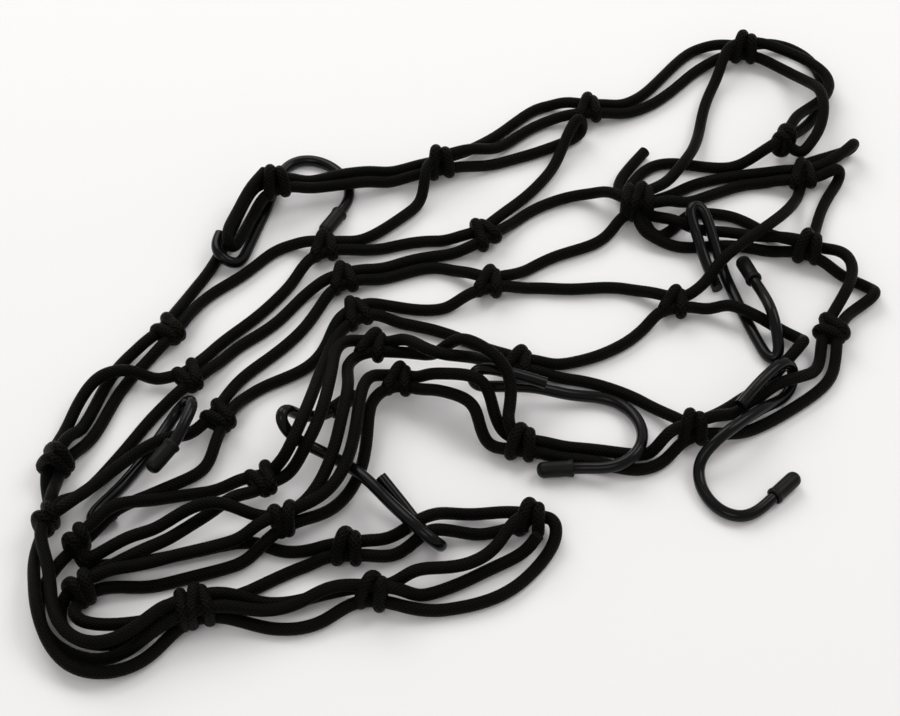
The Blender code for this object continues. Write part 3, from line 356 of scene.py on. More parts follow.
def smooth(points, held):
    """Centripetal Catmull-Rom curve, straight between the two points of a knot."""
    p = np.vstack([2 * points[0] - points[1], points, 2 * points[-1] - points[-2]])
    fine = [points[0]]
    fixed = [held[0]]
    for i in range(1, len(points)):
        a, b, c, d = p[i - 1], p[i], p[i + 1], p[i + 2]
        if held[i - 1] and held[i]:
            fine.append(points[i])
            fixed.append(True)
            continue
        ta = math.sqrt(np.linalg.norm(b - a))
        tb = math.sqrt(np.linalg.norm(c - b))
        tc = math.sqrt(np.linalg.norm(d - c))
        m1 = (b - a) / ta - (c - a) / (ta + tb) + (c - b) / tb
        m2 = (c - b) / tb - (d - b) / (tb + tc) + (d - c) / tc
        m1 = m1 * tb
        m2 = m2 * tb
        count = max(2, int(np.linalg.norm(c - b)))
        for k in range(1, count + 1):
            t = k / count
            h1 = 2 * t ** 3 - 3 * t ** 2 + 1
            h2 = t ** 3 - 2 * t ** 2 + t
            h3 = -2 * t ** 3 + 3 * t ** 2
            h4 = t ** 3 - t ** 2
            fine.append(h1 * b + h2 * m1 + h3 * c + h4 * m2)
            fixed.append(held[i] and k == count)
    return np.array(fine), fixed


def thin_out(fine, fixed, long_step=STEP_LONG, turn=TURN):
    """Keep a point whenever the curve has turned enough or run far enough."""
    keep = [0]
    travelled = 0.0
    turned = 0.0
    for i in range(1, len(fine) - 1):
        before = fine[i] - fine[i - 1]
        after = fine[i + 1] - fine[i]
        travelled += np.linalg.norm(before)
        cosine = before @ after / (np.linalg.norm(before) * np.linalg.norm(after) + 1e-9)
        turned += math.degrees(math.acos(max(-1.0, min(1.0, cosine))))
        due = travelled > 2.0 and (travelled > long_step or turned > turn)
        if fixed[i] or due:
            keep.append(i)
            travelled = 0.0
            turned = 0.0
    keep.append(len(fine) - 1)
    return fine[keep], [fixed[i] for i in keep]


print("left lane of knot 1:", lane_point("1", "l", 0.0))

# %% [markdown]
# ## Cords can't lie in each other
# Listed routes always clip a little. To find out where, we need the nearest places of two
# straight bits of cord, and for speed we ask for thousands of pairs at once.

# %% Nearest places on two cords
def between(p, q, share):
    """Points part of the way from p to q."""
    return p * (1 - share)[:, None] + q * share[:, None]


def closest(p1, q1, p2, q2):
    """Closest parameters of many pairs of segments."""
    d1 = q1 - p1
    d2 = q2 - p2
    r = p1 - p2
    a = np.sum(d1 * d1, axis=1) + 1e-12
    e = np.sum(d2 * d2, axis=1) + 1e-12
    f = np.sum(d2 * r, axis=1)
    c = np.sum(d1 * r, axis=1)
    b = np.sum(d1 * d2, axis=1)
    den = a * e - b * b
    s = np.where(den > 1e-9, np.clip((b * f - c * e) / np.maximum(den, 1e-9), 0, 1), 0.5)
    t = np.clip((b * s + f) / e, 0, 1)
    s = np.clip((b * t - c) / a, 0, 1)
    t = np.clip((b * s + f) / e, 0, 1)
    return s, t


print("cords can be measured against each other")

# %% [markdown]
# ## Which bits of cord can meet
# Most bits of cord are far from each other and stay so. We list the pairs near enough to touch
# once, and look only at those afterwards. Neighbours on the same cord are left out.

# %% Pairs that can meet
LOOK = 30.0             # bits of cord further apart than this are never compared


def pairs_to_watch(pos, seg, owner, free):
    """Numbers of the segments in each pair that can meet, where at least one can move."""
    ia, ib = np.triu_indices(len(seg), 1)
    near = (owner[ia] != owner[ib]) | (np.abs(ia - ib) > 3)
    ia, ib = ia[near], ib[near]
    mid = 0.5 * (pos[seg[:, 0]] + pos[seg[:, 1]])
    half = 0.5 * np.linalg.norm(pos[seg[:, 0]] - pos[seg[:, 1]], axis=1)
    reach = np.linalg.norm(mid[ia] - mid[ib], axis=1) - half[ia] - half[ib]
    ia, ib = ia[reach < LOOK], ib[reach < LOOK]
    movable = free[seg[ia]].any(axis=1) | free[seg[ib]].any(axis=1)
    return ia[movable], ib[movable]


print("pairs closer than", LOOK, "mm are watched")

# %% [markdown]
# ## One nudge
# Two cords that are too near push each other away along the line between their nearest places,
# and each push is shared out between the ends of its segment. Knots and caps push too, but they
# don't move.

# %% Nudges
PUSH = 0.55             # share of an overlap that one nudge takes away from a pair of cords
KNOT_PUSH = 0.7         # the same against a knot or a cap


def nudge(move, hits, ends, push, share):
    """Share a push out between the two ends of each segment."""
    for end, w in ((0, 1 - share), (1, share)):
        np.add.at(move, ends[:, end], push * w[:, None])
        np.add.at(hits, ends[:, end], w)


def part_pairs(pos, seg, ia, ib, need, move, hits):
    """Push cords off each other, and return the worst overlap found."""
    s, t = closest(pos[seg[ia, 0]], pos[seg[ia, 1]], pos[seg[ib, 0]], pos[seg[ib, 1]])
    gap = between(pos[seg[ia, 0]], pos[seg[ia, 1]], s)
    gap -= between(pos[seg[ib, 0]], pos[seg[ib, 1]], t)
    dist = np.linalg.norm(gap, axis=1)
    hit = dist < need
    if not hit.any():
        return 0.0
    way = gap[hit] / (dist[hit][:, None] + 1e-6)
    way[dist[hit] < 0.05] = (0, 0, 1)
    push = way * ((need[hit] - dist[hit]) * PUSH)[:, None]
    nudge(move, hits, seg[ia[hit]], push, s[hit])
    nudge(move, hits, seg[ib[hit]], -push, t[hit])
    return float((need[hit] - dist[hit]).max())


def part_from(solid, pos, seg, mid, half, radius, move, hits):
    """Push cords off a fat segment that stands still."""
    p, q, r, skip = solid
    reach = r + CORD_R + GAP
    near = np.linalg.norm(mid - 0.5 * (p + q), axis=1) < reach + half + 12
    near[skip] = False
    k = np.nonzero(near)[0]
    if not len(k):
        return
    head, tail = pos[seg[k, 0]], pos[seg[k, 1]]
    s, t = closest(head, tail, np.tile(p, (len(k), 1)), np.tile(q, (len(k), 1)))
    gap = between(head, tail, s) - (p + (q - p) * t[:, None])
    dist = np.linalg.norm(gap, axis=1)
    hit = dist < reach + radius[k] - CORD_R
    if hit.any():
        way = gap[hit] / (dist[hit][:, None] + 1e-6)
        push = way * ((reach + radius[k][hit] - CORD_R - dist[hit]) * KNOT_PUSH)[:, None]
        nudge(move, hits, seg[k[hit]], push, s[hit])


print("ready to nudge")

# %% [markdown]
# ## Push the cords apart
# The loop does what gravity and stiffness do. It nudges crossing cords apart until they touch,
# keeps them on the floor, pulls them back to their route and keeps the bends they had.

# %% Push the cords apart
ROUNDS = 500            # how many times everything is nudged
EAGER = 1.6             # nudges are made a little longer, which saves rounds
HOMING = 0.02           # pull back to the route, in the first half of the rounds
STIFF = 0.12            # how strongly a cord keeps the bends of its route


def bends(points, start):
    """How far each point lies from the middle of its neighbours, cord by cord."""
    out = np.zeros_like(points)
    for i0, i1 in zip(start[:-1], start[1:]):
        out[i0 + 1:i1 - 1] = points[i0:i1 - 2] + points[i0 + 2:i1] - 2 * points[i0 + 1:i1 - 1]
    return out


def relax(lines, fixed, radii, solids):
    """Push the free points of the cords off each other, the hooks, the knots and the floor."""
    start = np.cumsum([0] + [len(x) for x in lines])
    pos = np.vstack(lines)
    home = pos.copy()
    free = ~np.concatenate([np.array(f) for f in fixed])
    seg = np.array([(start[k] + i, start[k] + i + 1) for k, x in enumerate(lines)
                    for i in range(len(x) - 1)])
    owner = np.array([k for k, x in enumerate(lines) for i in range(len(x) - 1)])
    radius = np.array([radii[k] for k in owner])
    half = 0.5 * np.linalg.norm(pos[seg[:, 0]] - pos[seg[:, 1]], axis=1)
    ia, ib = pairs_to_watch(pos, seg, owner, free)
    need = radius[ia] + radius[ib] + GAP
    for step in range(ROUNDS):
        move = np.zeros_like(pos)
        hits = np.zeros(len(pos))
        mid = 0.5 * (pos[seg[:, 0]] + pos[seg[:, 1]])
        worst = part_pairs(pos, seg, ia, ib, need, move, hits)
        for solid in solids:
            part_from(solid, pos, seg, mid, half, radius, move, hits)
        move /= np.maximum(hits, 1.0)[:, None]
        pull = HOMING if step < ROUNDS * 0.5 else 0.0
        pos[free] += move[free] * EAGER + (home[free] - pos[free]) * pull
        if step < ROUNDS * 0.8:
            bend = (bends(pos, start) - bends(home, start)) * STIFF
            pos[free] += bend[free]
        pos[free, 2] = np.maximum(pos[free, 2], CORD_R + OFF_FLOOR)
    return [pos[start[k]:start[k + 1]] for k in range(len(lines))], worst


print("the net can be relaxed in", ROUNDS, "rounds")

# %% [markdown]
# ## Let the net settle
# Hooks and knots hold still, and only the loose stretches of cord give way. A knot pushes on every
# cord except the ones it holds, and a cap on everything but its own wire.

# %% Set the net and let it part
def knot_core(knot):
    """Fat segments standing for the outside of a knot."""
    reach = KNOT_HALF - 3.2
    out = []
    for lane in LANES[KNOTS[knot][4]]:
        p = np.array(lane_point(knot, lane, -reach))
        q = np.array(lane_point(knot, lane, reach))
        out.append((p, q, CORD_R + 0.3 + KNOT_WALL))
    return out


names = list(CORDS)
lines = []
fixed = []
for name in names:
    pts, held = stations_to_points(CORDS[name])
    fine, fix = smooth(pts, held)
    line, fix = thin_out(fine, fix)
    lines.append(line)
    fixed.append(fix)
hook_names = list(HOOKS)
radii = [CORD_R] * len(names)
for name in hook_names:
    pts = np.array(HOOKS[name], float)
    axis = (pts[-1] - pts[-2]) / np.linalg.norm(pts[-1] - pts[-2])
    pts = np.vstack([pts[:-2], pts[-2] - axis * 2.0, pts[-1]])
    fine, fix = smooth(pts, [False] * (len(pts) - 2) + [True, True])
    line, fix = thin_out(fine, fix, HOOK_STEP, HOOK_TURN)
    line[:, 2] = np.maximum(line[:, 2], WIRE_R + OFF_FLOOR)
    lines.append(line)
    fixed.append([True] * len(line))
    radii.append(WIRE_R)

# each knot pushes every segment except those running through it or just leaving it
first_seg = np.cumsum([0] + [len(x) - 1 for x in lines])
solids = []
for knot in KNOTS:
    skip = []
    spots = [np.array(lane_point(knot, lane, along)) for lane in LANES[KNOTS[knot][4]]
             for along in (-LANE_END, -1.0, 1.0, LANE_END)]
    for k, line in enumerate(lines[:len(names)]):
        for i, point in enumerate(line):
            if fixed[k][i] and min(np.linalg.norm(point - spot) for spot in spots) < 1e-6:
                skip += [first_seg[k] + j for j in (i - 1, i) if 0 <= j < len(line) - 1]
    for p, q, r in knot_core(knot):
        solids.append((p, q, r, np.array(skip, int)))
for k, name in enumerate(hook_names, len(names)):
    a, b = np.array(HOOKS[name][-2], float), np.array(HOOKS[name][-1], float)
    d = (b - a) / np.linalg.norm(b - a)
    own = np.arange(first_seg[k], first_seg[k + 1])
    solids.append((a, a + d * (CAP_L - 2.0), CAP_R, own))
all_lines, worst = relax(lines, fixed, radii, solids)
print(len(names), "cords parted, largest overlap left:", round(worst, 3), "mm")

# %% [markdown]
# ## From a rough line to a cord that bends evenly
# The parted line still has small corners. A stiff cord takes the line of least bending that its
# surroundings allow, so each point is pulled back to its route by a hold and the bending is made as
# small as possible. The middle of a knot holds hard, and the stretch just outside it hardly at all.

# %% Even bends
FINE = 0.8              # point spacing of a finished line
SIDE_STIFF = 1200.0     # how much bending counts against straying from the route, seen from above
UP_STIFF = 20.0         # the same for height, where a cord sags freely
TIGHT = 14.0            # extra hold in a tight loop, which would open otherwise
KNOT_GRIP = 20.0        # hold in the middle of a knot
KNOT_REACH = 20.0       # how far from a knot its pull straightens a cord


def to_metres(p):
    """From layout millimetres to the shared frame."""
    return Vector(((p[0] - CENTRE[0]) * MM, (p[1] - CENTRE[1]) * MM, p[2] * MM))


def even(points, step):
    """The same line with its points a fixed step apart."""
    gaps = np.linalg.norm(np.diff(points, axis=0), axis=1)
    run = np.concatenate([[0], np.cumsum(gaps)])
    count = max(2, int(round(run[-1] / step)))
    spots = np.linspace(0, run[-1], count + 1)
    return np.stack([np.interp(spots, run, points[:, k]) for k in range(3)], axis=1)


def rounded(points, rounds, radius):
    """Average neighbours, and stay on the floor."""
    p = points.copy()
    for _ in range(rounds):
        p[1:-1] = 0.25 * p[:-2] + 0.5 * p[1:-1] + 0.25 * p[2:]
        p[:, 2] = np.maximum(p[:, 2], radius + 0.05)
    return p


def evenly_bent(points, stiffness, hold):
    """The line of least bending near the route."""
    count = len(points)
    bend = np.zeros((count - 2, count))
    for k in range(count - 2):
        bend[k, k:k + 3] = (1, -2, 1)
    return np.linalg.solve(np.diag(hold) + stiffness * bend.T @ bend, hold[:, None] * points)


def holds(points, stations):
    """How firmly each point is held: more in a tight loop, hardly at all on the way into a knot."""
    way = points[8:] - points[:-8]
    way /= np.linalg.norm(way, axis=1)[:, None]
    turn = np.linalg.norm(way[8:] - way[:-8], axis=1) / 6.4      # one over the bend's radius, per mm
    hold = np.ones(len(points))
    hold[8:-8] += TIGHT * np.clip((turn - 0.07) / 0.08, 0.0, 1.0)
    for st in stations:
        if isinstance(st[0], str):
            d = np.linalg.norm(points - np.array(lane_point(st[0], st[1], 0.0)), axis=1)
            loose = 0.02 + (d / KNOT_REACH) ** 4
            hold = np.where(d < KNOT_REACH, np.minimum(hold, loose), hold)
            hold[np.argmin(d)] = KNOT_GRIP
    return hold


print("bending counts", SIDE_STIFF, "sideways and", UP_STIFF, "in height")

# %% [markdown]
# ## Finished lines
# Every cord gets its even bends. Where one starts or ends at a knot, its end is led on into the
# heart of the knot, so that no cut end shows outside.

# %% Even bends, and ends tucked into knots
# cords whose cut ends are tucked into a knot: cord, which end, knot
TUCKS = [
    ("cord_second_edge", S, "27"), ("cord_second_edge", E, "5"), ("cord_far_loop", E, "7"),
    ("cord_tail", E, "6"), ("cord_third", S, "30"), ("cord_third", E, "13"), ("cord_fourth", S, "27"),
    ("cord_fifth", E, "6"), ("cord_inner", S, "7"), ("cord_outer", S, "7"),
    ("cord_bottom_edge", S, "28"), ("cord_folded", S, "28"),
]


def tucked(p, which, knot):
    """The cord with one end led on, in a short bow, to the heart of a knot."""
    x, y, z = KNOTS[knot][:3]
    rows = p if which == E else p[::-1]
    last = rows[-1]
    goal = np.array((x, y, z + 0.6 * LANE))
    way = last - rows[-6]
    way = way / np.linalg.norm(way)
    bow = last + way * np.linalg.norm(goal - last) * 0.5
    more = [(1 - t) ** 2 * last + 2 * t * (1 - t) * bow + t ** 2 * goal
            for t in np.linspace(0.1, 1.0, 12)]
    rows = np.vstack([rows, more])
    p = rows if which == E else rows[::-1]
    return rounded(even(p, FINE), 6, CORD_R)


cord_lines = {}
for name, line, fix in zip(names, all_lines, fixed):
    p = even(smooth(line, fix)[0], FINE)
    hold = holds(p, CORDS[name])
    flat = evenly_bent(p[:, :2], SIDE_STIFF, hold)
    height = evenly_bent(p[:, 2:], UP_STIFF, np.maximum(hold, 0.3))
    p = np.hstack([flat, np.maximum(height, CORD_R + 0.05)])
    for cord_name, which, knot in TUCKS:
        if cord_name == name:
            p = tucked(p, which, knot)
    cord_lines[name] = p

# %% [markdown]
# ## A braided tube from a line
# Every cord, knot turn and wire is the same thing: a round section carried along a line. That is
# what Curve to Mesh does in Geometry Nodes, and one tree with named sizes serves them all. The tree
# also writes down, for each point, where it is around the section and how far along the line, so
# that a braid drawn by the material follows the cord through every bend.

# %% Geometry Nodes: round section along a line
def section_tree():
    """A round section carried along each line of a mesh, with its weave written down."""
    tree = bpy.data.node_groups.new("round section along a line", "GeometryNodeTree")
    face = tree.interface
    for label, kind in (("Geometry", "Geometry"), ("Radius", "Float"), ("Sides", "Int"),
                        ("Finish", "Material")):
        face.new_socket(label, in_out="INPUT", socket_type="NodeSocket" + kind)
    face.new_socket("Geometry", in_out="OUTPUT", socket_type="NodeSocketGeometry")
    new = tree.nodes.new
    link = tree.links.new
    inp = new("NodeGroupInput")
    out = new("NodeGroupOutput")
    to_curve = new("GeometryNodeMeshToCurve")
    length = new("GeometryNodeSplineParameter")
    keep_length = new("GeometryNodeCaptureAttribute")
    keep_length.capture_items.new("FLOAT", "Along")
    circle = new("GeometryNodeCurvePrimitiveCircle")
    place = new("GeometryNodeInputPosition")
    unit = new("ShaderNodeVectorMath")
    unit.operation = "NORMALIZE"
    keep_place = new("GeometryNodeCaptureAttribute")
    keep_place.capture_items.new("VECTOR", "Around")
    sweep = new("GeometryNodeCurveToMesh")
    sweep.inputs["Fill Caps"].default_value = True
    parts_of = new("ShaderNodeSeparateXYZ")
    joined = new("ShaderNodeCombineXYZ")
    store = new("GeometryNodeStoreNamedAttribute")
    store.data_type = "FLOAT_VECTOR"
    store.domain = "POINT"
    store.inputs["Name"].default_value = "weave"
    shade = new("GeometryNodeSetShadeSmooth")
    real = new("GeometryNodeRealizeInstances")
    finish = new("GeometryNodeSetMaterial")
    wires = [
        (inp, "Geometry", to_curve, "Mesh"), (to_curve, "Curve", keep_length, "Geometry"),
        (length, "Length", keep_length, "Along"), (inp, "Radius", circle, "Radius"),
        (inp, "Sides", circle, "Resolution"), (place, "Position", unit, 0),
        (circle, "Curve", keep_place, "Geometry"), (unit, "Vector", keep_place, "Around"),
        (keep_length, "Geometry", sweep, "Curve"), (keep_place, "Geometry", sweep, "Profile Curve"),
        (keep_place, "Around", parts_of, "Vector"), (parts_of, "X", joined, "X"),
        (parts_of, "Y", joined, "Y"), (keep_length, "Along", joined, "Z"),
        (sweep, "Mesh", store, "Geometry"), (joined, "Vector", store, "Value"),
        (store, "Geometry", shade, "Geometry"), (shade, "Geometry", real, "Geometry"),
        (real, "Geometry", finish, "Geometry"), (inp, "Finish", finish, "Material"),
        (finish, "Geometry", out, "Geometry"),
    ]
    for node, plug, other, socket in wires:
        link(node.outputs[plug], other.inputs[socket])
    return tree


SECTION = section_tree()


def carried(name, runs, radius, sides, finish):
    """A round section carried along one or more lines; a line is (points in mm, closed or not)."""
    verts = []
    edges = []
    for points, closed in runs:
        first = len(verts)
        verts += [to_metres(p) for p in points]
        edges += [(first + i, first + i + 1) for i in range(len(points) - 1)]
        if closed:
            edges.append((len(verts) - 1, first))
    path = bpy.data.meshes.new(name + "_line")
    path.from_pydata(verts, edges, [])
    obj = placed(name, path)
    swept = obj.modifiers.new("section", "NODES")
    swept.node_group = SECTION
    values = {"Radius": radius * MM, "Sides": sides, "Finish": finish}
    for item in SECTION.interface.items_tree:
        if item.in_out == "INPUT" and item.name in values:
            swept[item.identifier] = values[item.name]
    graph = bpy.context.evaluated_depsgraph_get()
    mesh = bpy.data.meshes.new_from_object(obj.evaluated_get(graph), preserve_all_data_layers=True,
                                           depsgraph=graph)
    obj.modifiers.clear()
    obj.data = mesh
    mesh.name = name
    return obj


print("section tree:", len(SECTION.nodes), "nodes")

# %% [markdown]
# ## Braided cover
# Elastic cord wears a sleeve braided from fine threads that cross in two directions. The pattern
# is made of two sets of helical ridges, and the higher one wins at each spot. It is a node group,
# because loose cord and tight knots wear the same braid with different tightness.

# %% Shader group: braid
def braid_group():
    group = bpy.data.node_groups.new("braid", "ShaderNodeTree")
    face = group.interface
    for label, value in (("Threads", 8.0), ("Ridges per metre", 1400.0), ("Fuzz", 0.4)):
        socket = face.new_socket(label, in_out="INPUT", socket_type="NodeSocketFloat")
        socket.default_value = value
    face.new_socket("Height", in_out="OUTPUT", socket_type="NodeSocketFloat")
    face.new_socket("Painted highlight and wear", in_out="OUTPUT", socket_type="NodeSocketFloat")
    new = group.nodes.new
    link = group.links.new
    inp = new("NodeGroupInput")
    out = new("NodeGroupOutput")
    weave = new("ShaderNodeAttribute")
    weave.attribute_name = "weave"
    split = new("ShaderNodeSeparateXYZ")
    link(weave.outputs["Vector"], split.inputs["Vector"])

    def sums(kind, a, b=None):
        node = new("ShaderNodeMath")
        node.operation = kind
        for k, v in enumerate((a, b)):
            if isinstance(v, float):
                node.inputs[k].default_value = v
            elif v is not None:
                link(v, node.inputs[k])
        return node.outputs["Value"]

    around = sums("ARCTAN2", split.outputs["Y"], split.outputs["X"])
    turn = sums("MULTIPLY", around, inp.outputs["Threads"])
    along = sums("MULTIPLY", split.outputs["Z"], inp.outputs["Ridges per metre"])
    along = sums("MULTIPLY", along, 2 * math.pi)
    one = sums("SINE", sums("ADD", along, turn))
    two = sums("SINE", sums("SUBTRACT", along, turn))
    ridges = sums("MAXIMUM", one, two)
    where = new("ShaderNodeTexCoord")
    fuzz = new("ShaderNodeTexNoise")
    fuzz.inputs["Scale"].default_value = 900.0
    fuzz.inputs["Detail"].default_value = 3.0
    link(where.outputs["Object"], fuzz.inputs["Vector"])
    ragged = sums("MULTIPLY", fuzz.outputs["Fac"], inp.outputs["Fuzz"])
    link(sums("ADD", sums("MULTIPLY", ridges, 0.5), ragged), out.inputs["Height"])
    patches = new("ShaderNodeTexNoise")
    patches.inputs["Scale"].default_value = 60.0
    patches.inputs["Detail"].default_value = 4.0
    link(where.outputs["Object"], patches.inputs["Vector"])
    # painted highlight: the colour is lighter on the raised threads, in random patches of wear, and the
    # hollows between them stay dark as painted shade
    painted_highlight_and_wear = sums("MULTIPLY", sums("MAXIMUM", ridges, 0.0), patches.outputs["Fac"])
    link(painted_highlight_and_wear, out.inputs["Painted highlight and wear"])
    return group


BRAID = braid_group()
print("braid group:", len(BRAID.nodes), "nodes")

# %% [markdown]
# ## Finishes
# The cord is a near-black, slightly warm textile. Its raised threads get a painted highlight and its
# hollows painted shade. Steps that every finish takes, such as mixing two shades, are small helpers.

# %% Braided finish
def blank(name, specular, rough):
    """A new material, its tree and its shader."""
    mat = bpy.data.materials.new(name)
    mat.use_nodes = True
    shader = mat.node_tree.nodes["Principled BSDF"]
    shader.inputs["Specular IOR Level"].default_value = specular
    shader.inputs["Roughness"].default_value = rough
    return mat, mat.node_tree, shader


def mixed(tree, low, high, factor, socket):
    """Two shades mixed by a factor, into a socket."""
    ramp = tree.nodes.new("ShaderNodeValToRGB")
    ramp.color_ramp.elements[0].color = (*low, 1)
    ramp.color_ramp.elements[1].color = (*high, 1)
    tree.links.new(factor, ramp.inputs["Fac"])
    tree.links.new(ramp.outputs["Color"], socket)


def raised(tree, height, strength, depth, socket):
    """A height turned into a bump of a depth in mm, into a socket."""
    bump = tree.nodes.new("ShaderNodeBump")
    bump.inputs["Strength"].default_value = strength
    bump.inputs["Distance"].default_value = depth * MM
    tree.links.new(height, bump.inputs["Height"])
    tree.links.new(bump.outputs["Normal"], socket)


def braided(name, low, high, rough, depth, threads, pitch):
    """Dull thread: painted shade low to painted highlight high, bump depth in mm, threads around,
    ridges per metre.
    """
    mat, tree, shader = blank(name, 0.05, rough)
    shader.inputs["Sheen Weight"].default_value = 0.009
    shader.inputs["Sheen Roughness"].default_value = 0.4
    braid = tree.nodes.new("ShaderNodeGroup")
    braid.node_tree = BRAID
    braid.inputs["Threads"].default_value = threads
    braid.inputs["Ridges per metre"].default_value = pitch
    # painted highlight on the raised threads and painted shade in the hollows between them
    mixed(tree, low, high, braid.outputs["Painted highlight and wear"], shader.inputs["Base Color"])
    raised(tree, braid.outputs["Height"], 1.0, depth, shader.inputs["Normal"])
    return mat


HOLLOW = (0.0004, 0.0003, 0.0002)       # shade between the threads
CORD_FINISH = braided("braided cord", HOLLOW, (0.0050, 0.0043, 0.0030), 0.48, 0.26, 9, 700)
# the knots take a lighter copy of the cord's finish: painted highlight on the tight turns
KNOT_FINISH = braided("knotted cord", HOLLOW, (0.0072, 0.0063, 0.0046), 0.45, 0.36, 7, 760)
print("braided finishes made")

# %% [markdown]
# ## Plastic and rubber
# Dipped plastic and moulded rubber are never quite even. A coarse noise varies their shade and
# gloss, and a fine one gives them a skin.

# %% Plastic and rubber finishes
def moulded(name, low, high, rough, grain, depth):
    """Smooth skin: shades low to high, roughness, grain and the depth of its bump in mm."""
    mat, tree, shader = blank(name, 0.15, rough)
    where = tree.nodes.new("ShaderNodeTexCoord")
    blots = tree.nodes.new("ShaderNodeTexNoise")
    blots.inputs["Scale"].default_value = 90.0
    blots.inputs["Detail"].default_value = 5.0
    tree.links.new(where.outputs["Object"], blots.inputs["Vector"])
    mixed(tree, low, high, blots.outputs["Fac"], shader.inputs["Base Color"])
    spread = tree.nodes.new("ShaderNodeMapRange")
    spread.inputs["To Min"].default_value = rough * 0.75
    spread.inputs["To Max"].default_value = rough * 1.35
    tree.links.new(blots.outputs["Fac"], spread.inputs["Value"])
    tree.links.new(spread.outputs["Result"], shader.inputs["Roughness"])
    skin = tree.nodes.new("ShaderNodeTexNoise")
    skin.inputs["Scale"].default_value = grain
    tree.links.new(where.outputs["Object"], skin.inputs["Vector"])
    raised(tree, skin.outputs["Fac"], 0.6, depth, shader.inputs["Normal"])
    return mat


WIRE_FINISH = moulded("coated wire", (0.0015,) * 3, (0.004,) * 3, 0.18, 260.0, 0.10)
CAP_FINISH = moulded("rubber cap", (0.0015, 0.0015, 0.0014), (0.005, 0.005, 0.0046), 0.42, 1500.0, 0.06)
print("moulded finishes made")

# %% [markdown]
# ## The cords
# Each cord is one tube over its plain solid. It replaces that solid in view. One cord ends in
# the open, where the maker cut it off.

# %% Cords
PULLED_R = 2.3          # elastic cord is pulled a little thinner between its knots
CORD_SIDES = 14         # faces around a cord
for name in names:
    line = cord_lines[name]
    piece = carried(name.replace("cord_", "braid_"), [(line, False)], PULLED_R, CORD_SIDES, CORD_FINISH)
    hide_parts(name)
    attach(piece, "root")
    path = [tuple(to_metres(p)) for p in line[:-1:3]] + [tuple(to_metres(line[-1]))]
    if name == "cord_tail":
        path.reverse()      # the tail leaves its knot and ends in a plain cut end

# %% [markdown]
# ## The knots
# Where cords meet, one cord is wound around the others and drawn tight. From above that shows as
# two ribbed bands that touch on one side and stand apart on the other, like a V. Each band is a
# closed loop around the outline of the held cords, so it is written as a rule: go round the
# outline, and slide along the knot in proportion to the side. Thick knots get a third band.

# %% Knot bands
BAND_R = 2.3            # radius of a tight turn
SINK = 2.7              # how far a band presses into the cords it holds
# for each lane pattern: place along the knot, slant, lift where it climbs on the first band
BANDS = {
    "two": [(2.3, -0.10, 0.0), (-2.3, 0.45, 1.7)],
    "stack": [(2.3, -0.20, 0.0), (-2.1, 0.50, 1.6)],
    "three": [(2.5, -0.08, 0.0), (-2.2, 0.40, 1.7)],
    "four": [(3.6, -0.10, 0.0), (-0.6, 0.34, 1.5), (-4.6, 0.10, 0.3)],
}


def band_loop(knot, at, slant, lift, steps=72):
    """One turn of cord around the lanes of a knot, as a closed line."""
    x, y, z, heading, pattern = KNOTS[knot]
    c = math.cos(math.radians(heading))
    s = math.sin(math.radians(heading))
    spots = [(side * LANE, up * LANE) for side, up in LANES[pattern].values()]
    out = []
    for k in range(steps):
        a = 2 * math.pi * k / steps
        dx, dz = math.cos(a), math.sin(a)
        weights = [math.exp((u * dx + v * dz) * 1.1) for u, v in spots]
        side = sum(w * u for w, (u, v) in zip(weights, spots)) / sum(weights)
        up = sum(w * v for w, (u, v) in zip(weights, spots)) / sum(weights)
        climb = lift * max(0.0, dx) ** 0.5 * max(0.0, dz + 0.35)
        side += dx * (CORD_R + BAND_R - SINK + climb)
        up += dz * (CORD_R + BAND_R - SINK + climb)
        along = at + slant * side
        out.append((x + c * along - s * side, y + s * along + c * side, max(z + up, BAND_R * 0.85)))
    p = np.array(out + [out[0]])
    p = even(p, 0.9)[:-1]
    for _ in range(3):
        p = 0.25 * np.roll(p, 1, axis=0) + 0.5 * p + 0.25 * np.roll(p, -1, axis=0)
    return p


def flattened(obj):
    """Press whatever would reach under the floor up to it."""
    for v in obj.data.vertices:
        v.co.z = max(v.co.z, 0.02 * MM)


for knot in KNOTS:
    loops = [(band_loop(knot, *band), True) for band in BANDS[KNOTS[knot][4]]]
    piece = carried("bands_" + knot, loops, BAND_R, CORD_SIDES, KNOT_FINISH)
    flattened(piece)
    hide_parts("knot_" + knot)
    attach(piece, "root")
print(len(KNOTS), "knots wound")

# %% [markdown]
# ## The hooks
# A hook is steel wire, cut flat at one end, bent on pegs and dipped in black plastic. The long
# straight part slides through the meshes, and the round bend at the far end takes a rail or rack.

# %% Hooks
hook_ends = {}
for name, line, fix in zip(hook_names, all_lines[len(names):], fixed[len(names):]):
    pts = np.array(HOOKS[name], float)
    axis = (pts[-1] - pts[-2]) / np.linalg.norm(pts[-1] - pts[-2])
    fine = smooth(line, [False] * (len(line) - 1) + [True])[0]
    p = rounded(even(fine, FINE), 30, WIRE_R)
    hook_ends[name] = (pts[-2], axis)
    piece = carried("wire_" + name, [(p, False)], WIRE_R, 20, WIRE_FINISH)
    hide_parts("hook_" + name)
    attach(piece, "root")
print(len(hook_ends), "hooks bent")

# %% [markdown]
# ## The caps
# A rubber cap keeps the wire's end from scratching. It is a turned shape: a small rim, a straight
# wall and a round end. We spin its profile around the wire's axis.

# %% Caps
# distance along the cap and radius: first the blind hole for the wire, then the outside
CAP_PROFILE = [
    (6.0, 0.0), (6.0, 2.25), (0.0, 2.25), (-0.15, 2.7), (0.1, 3.15), (0.6, 3.3), (1.2, 3.28),
    (1.7, 3.05), (2.4, 2.98), (6.0, 3.0), (10.2, 3.02), (11.4, 2.95), (12.3, 2.6), (13.0, 1.9),
    (13.35, 1.0), (13.45, 0.0),
]


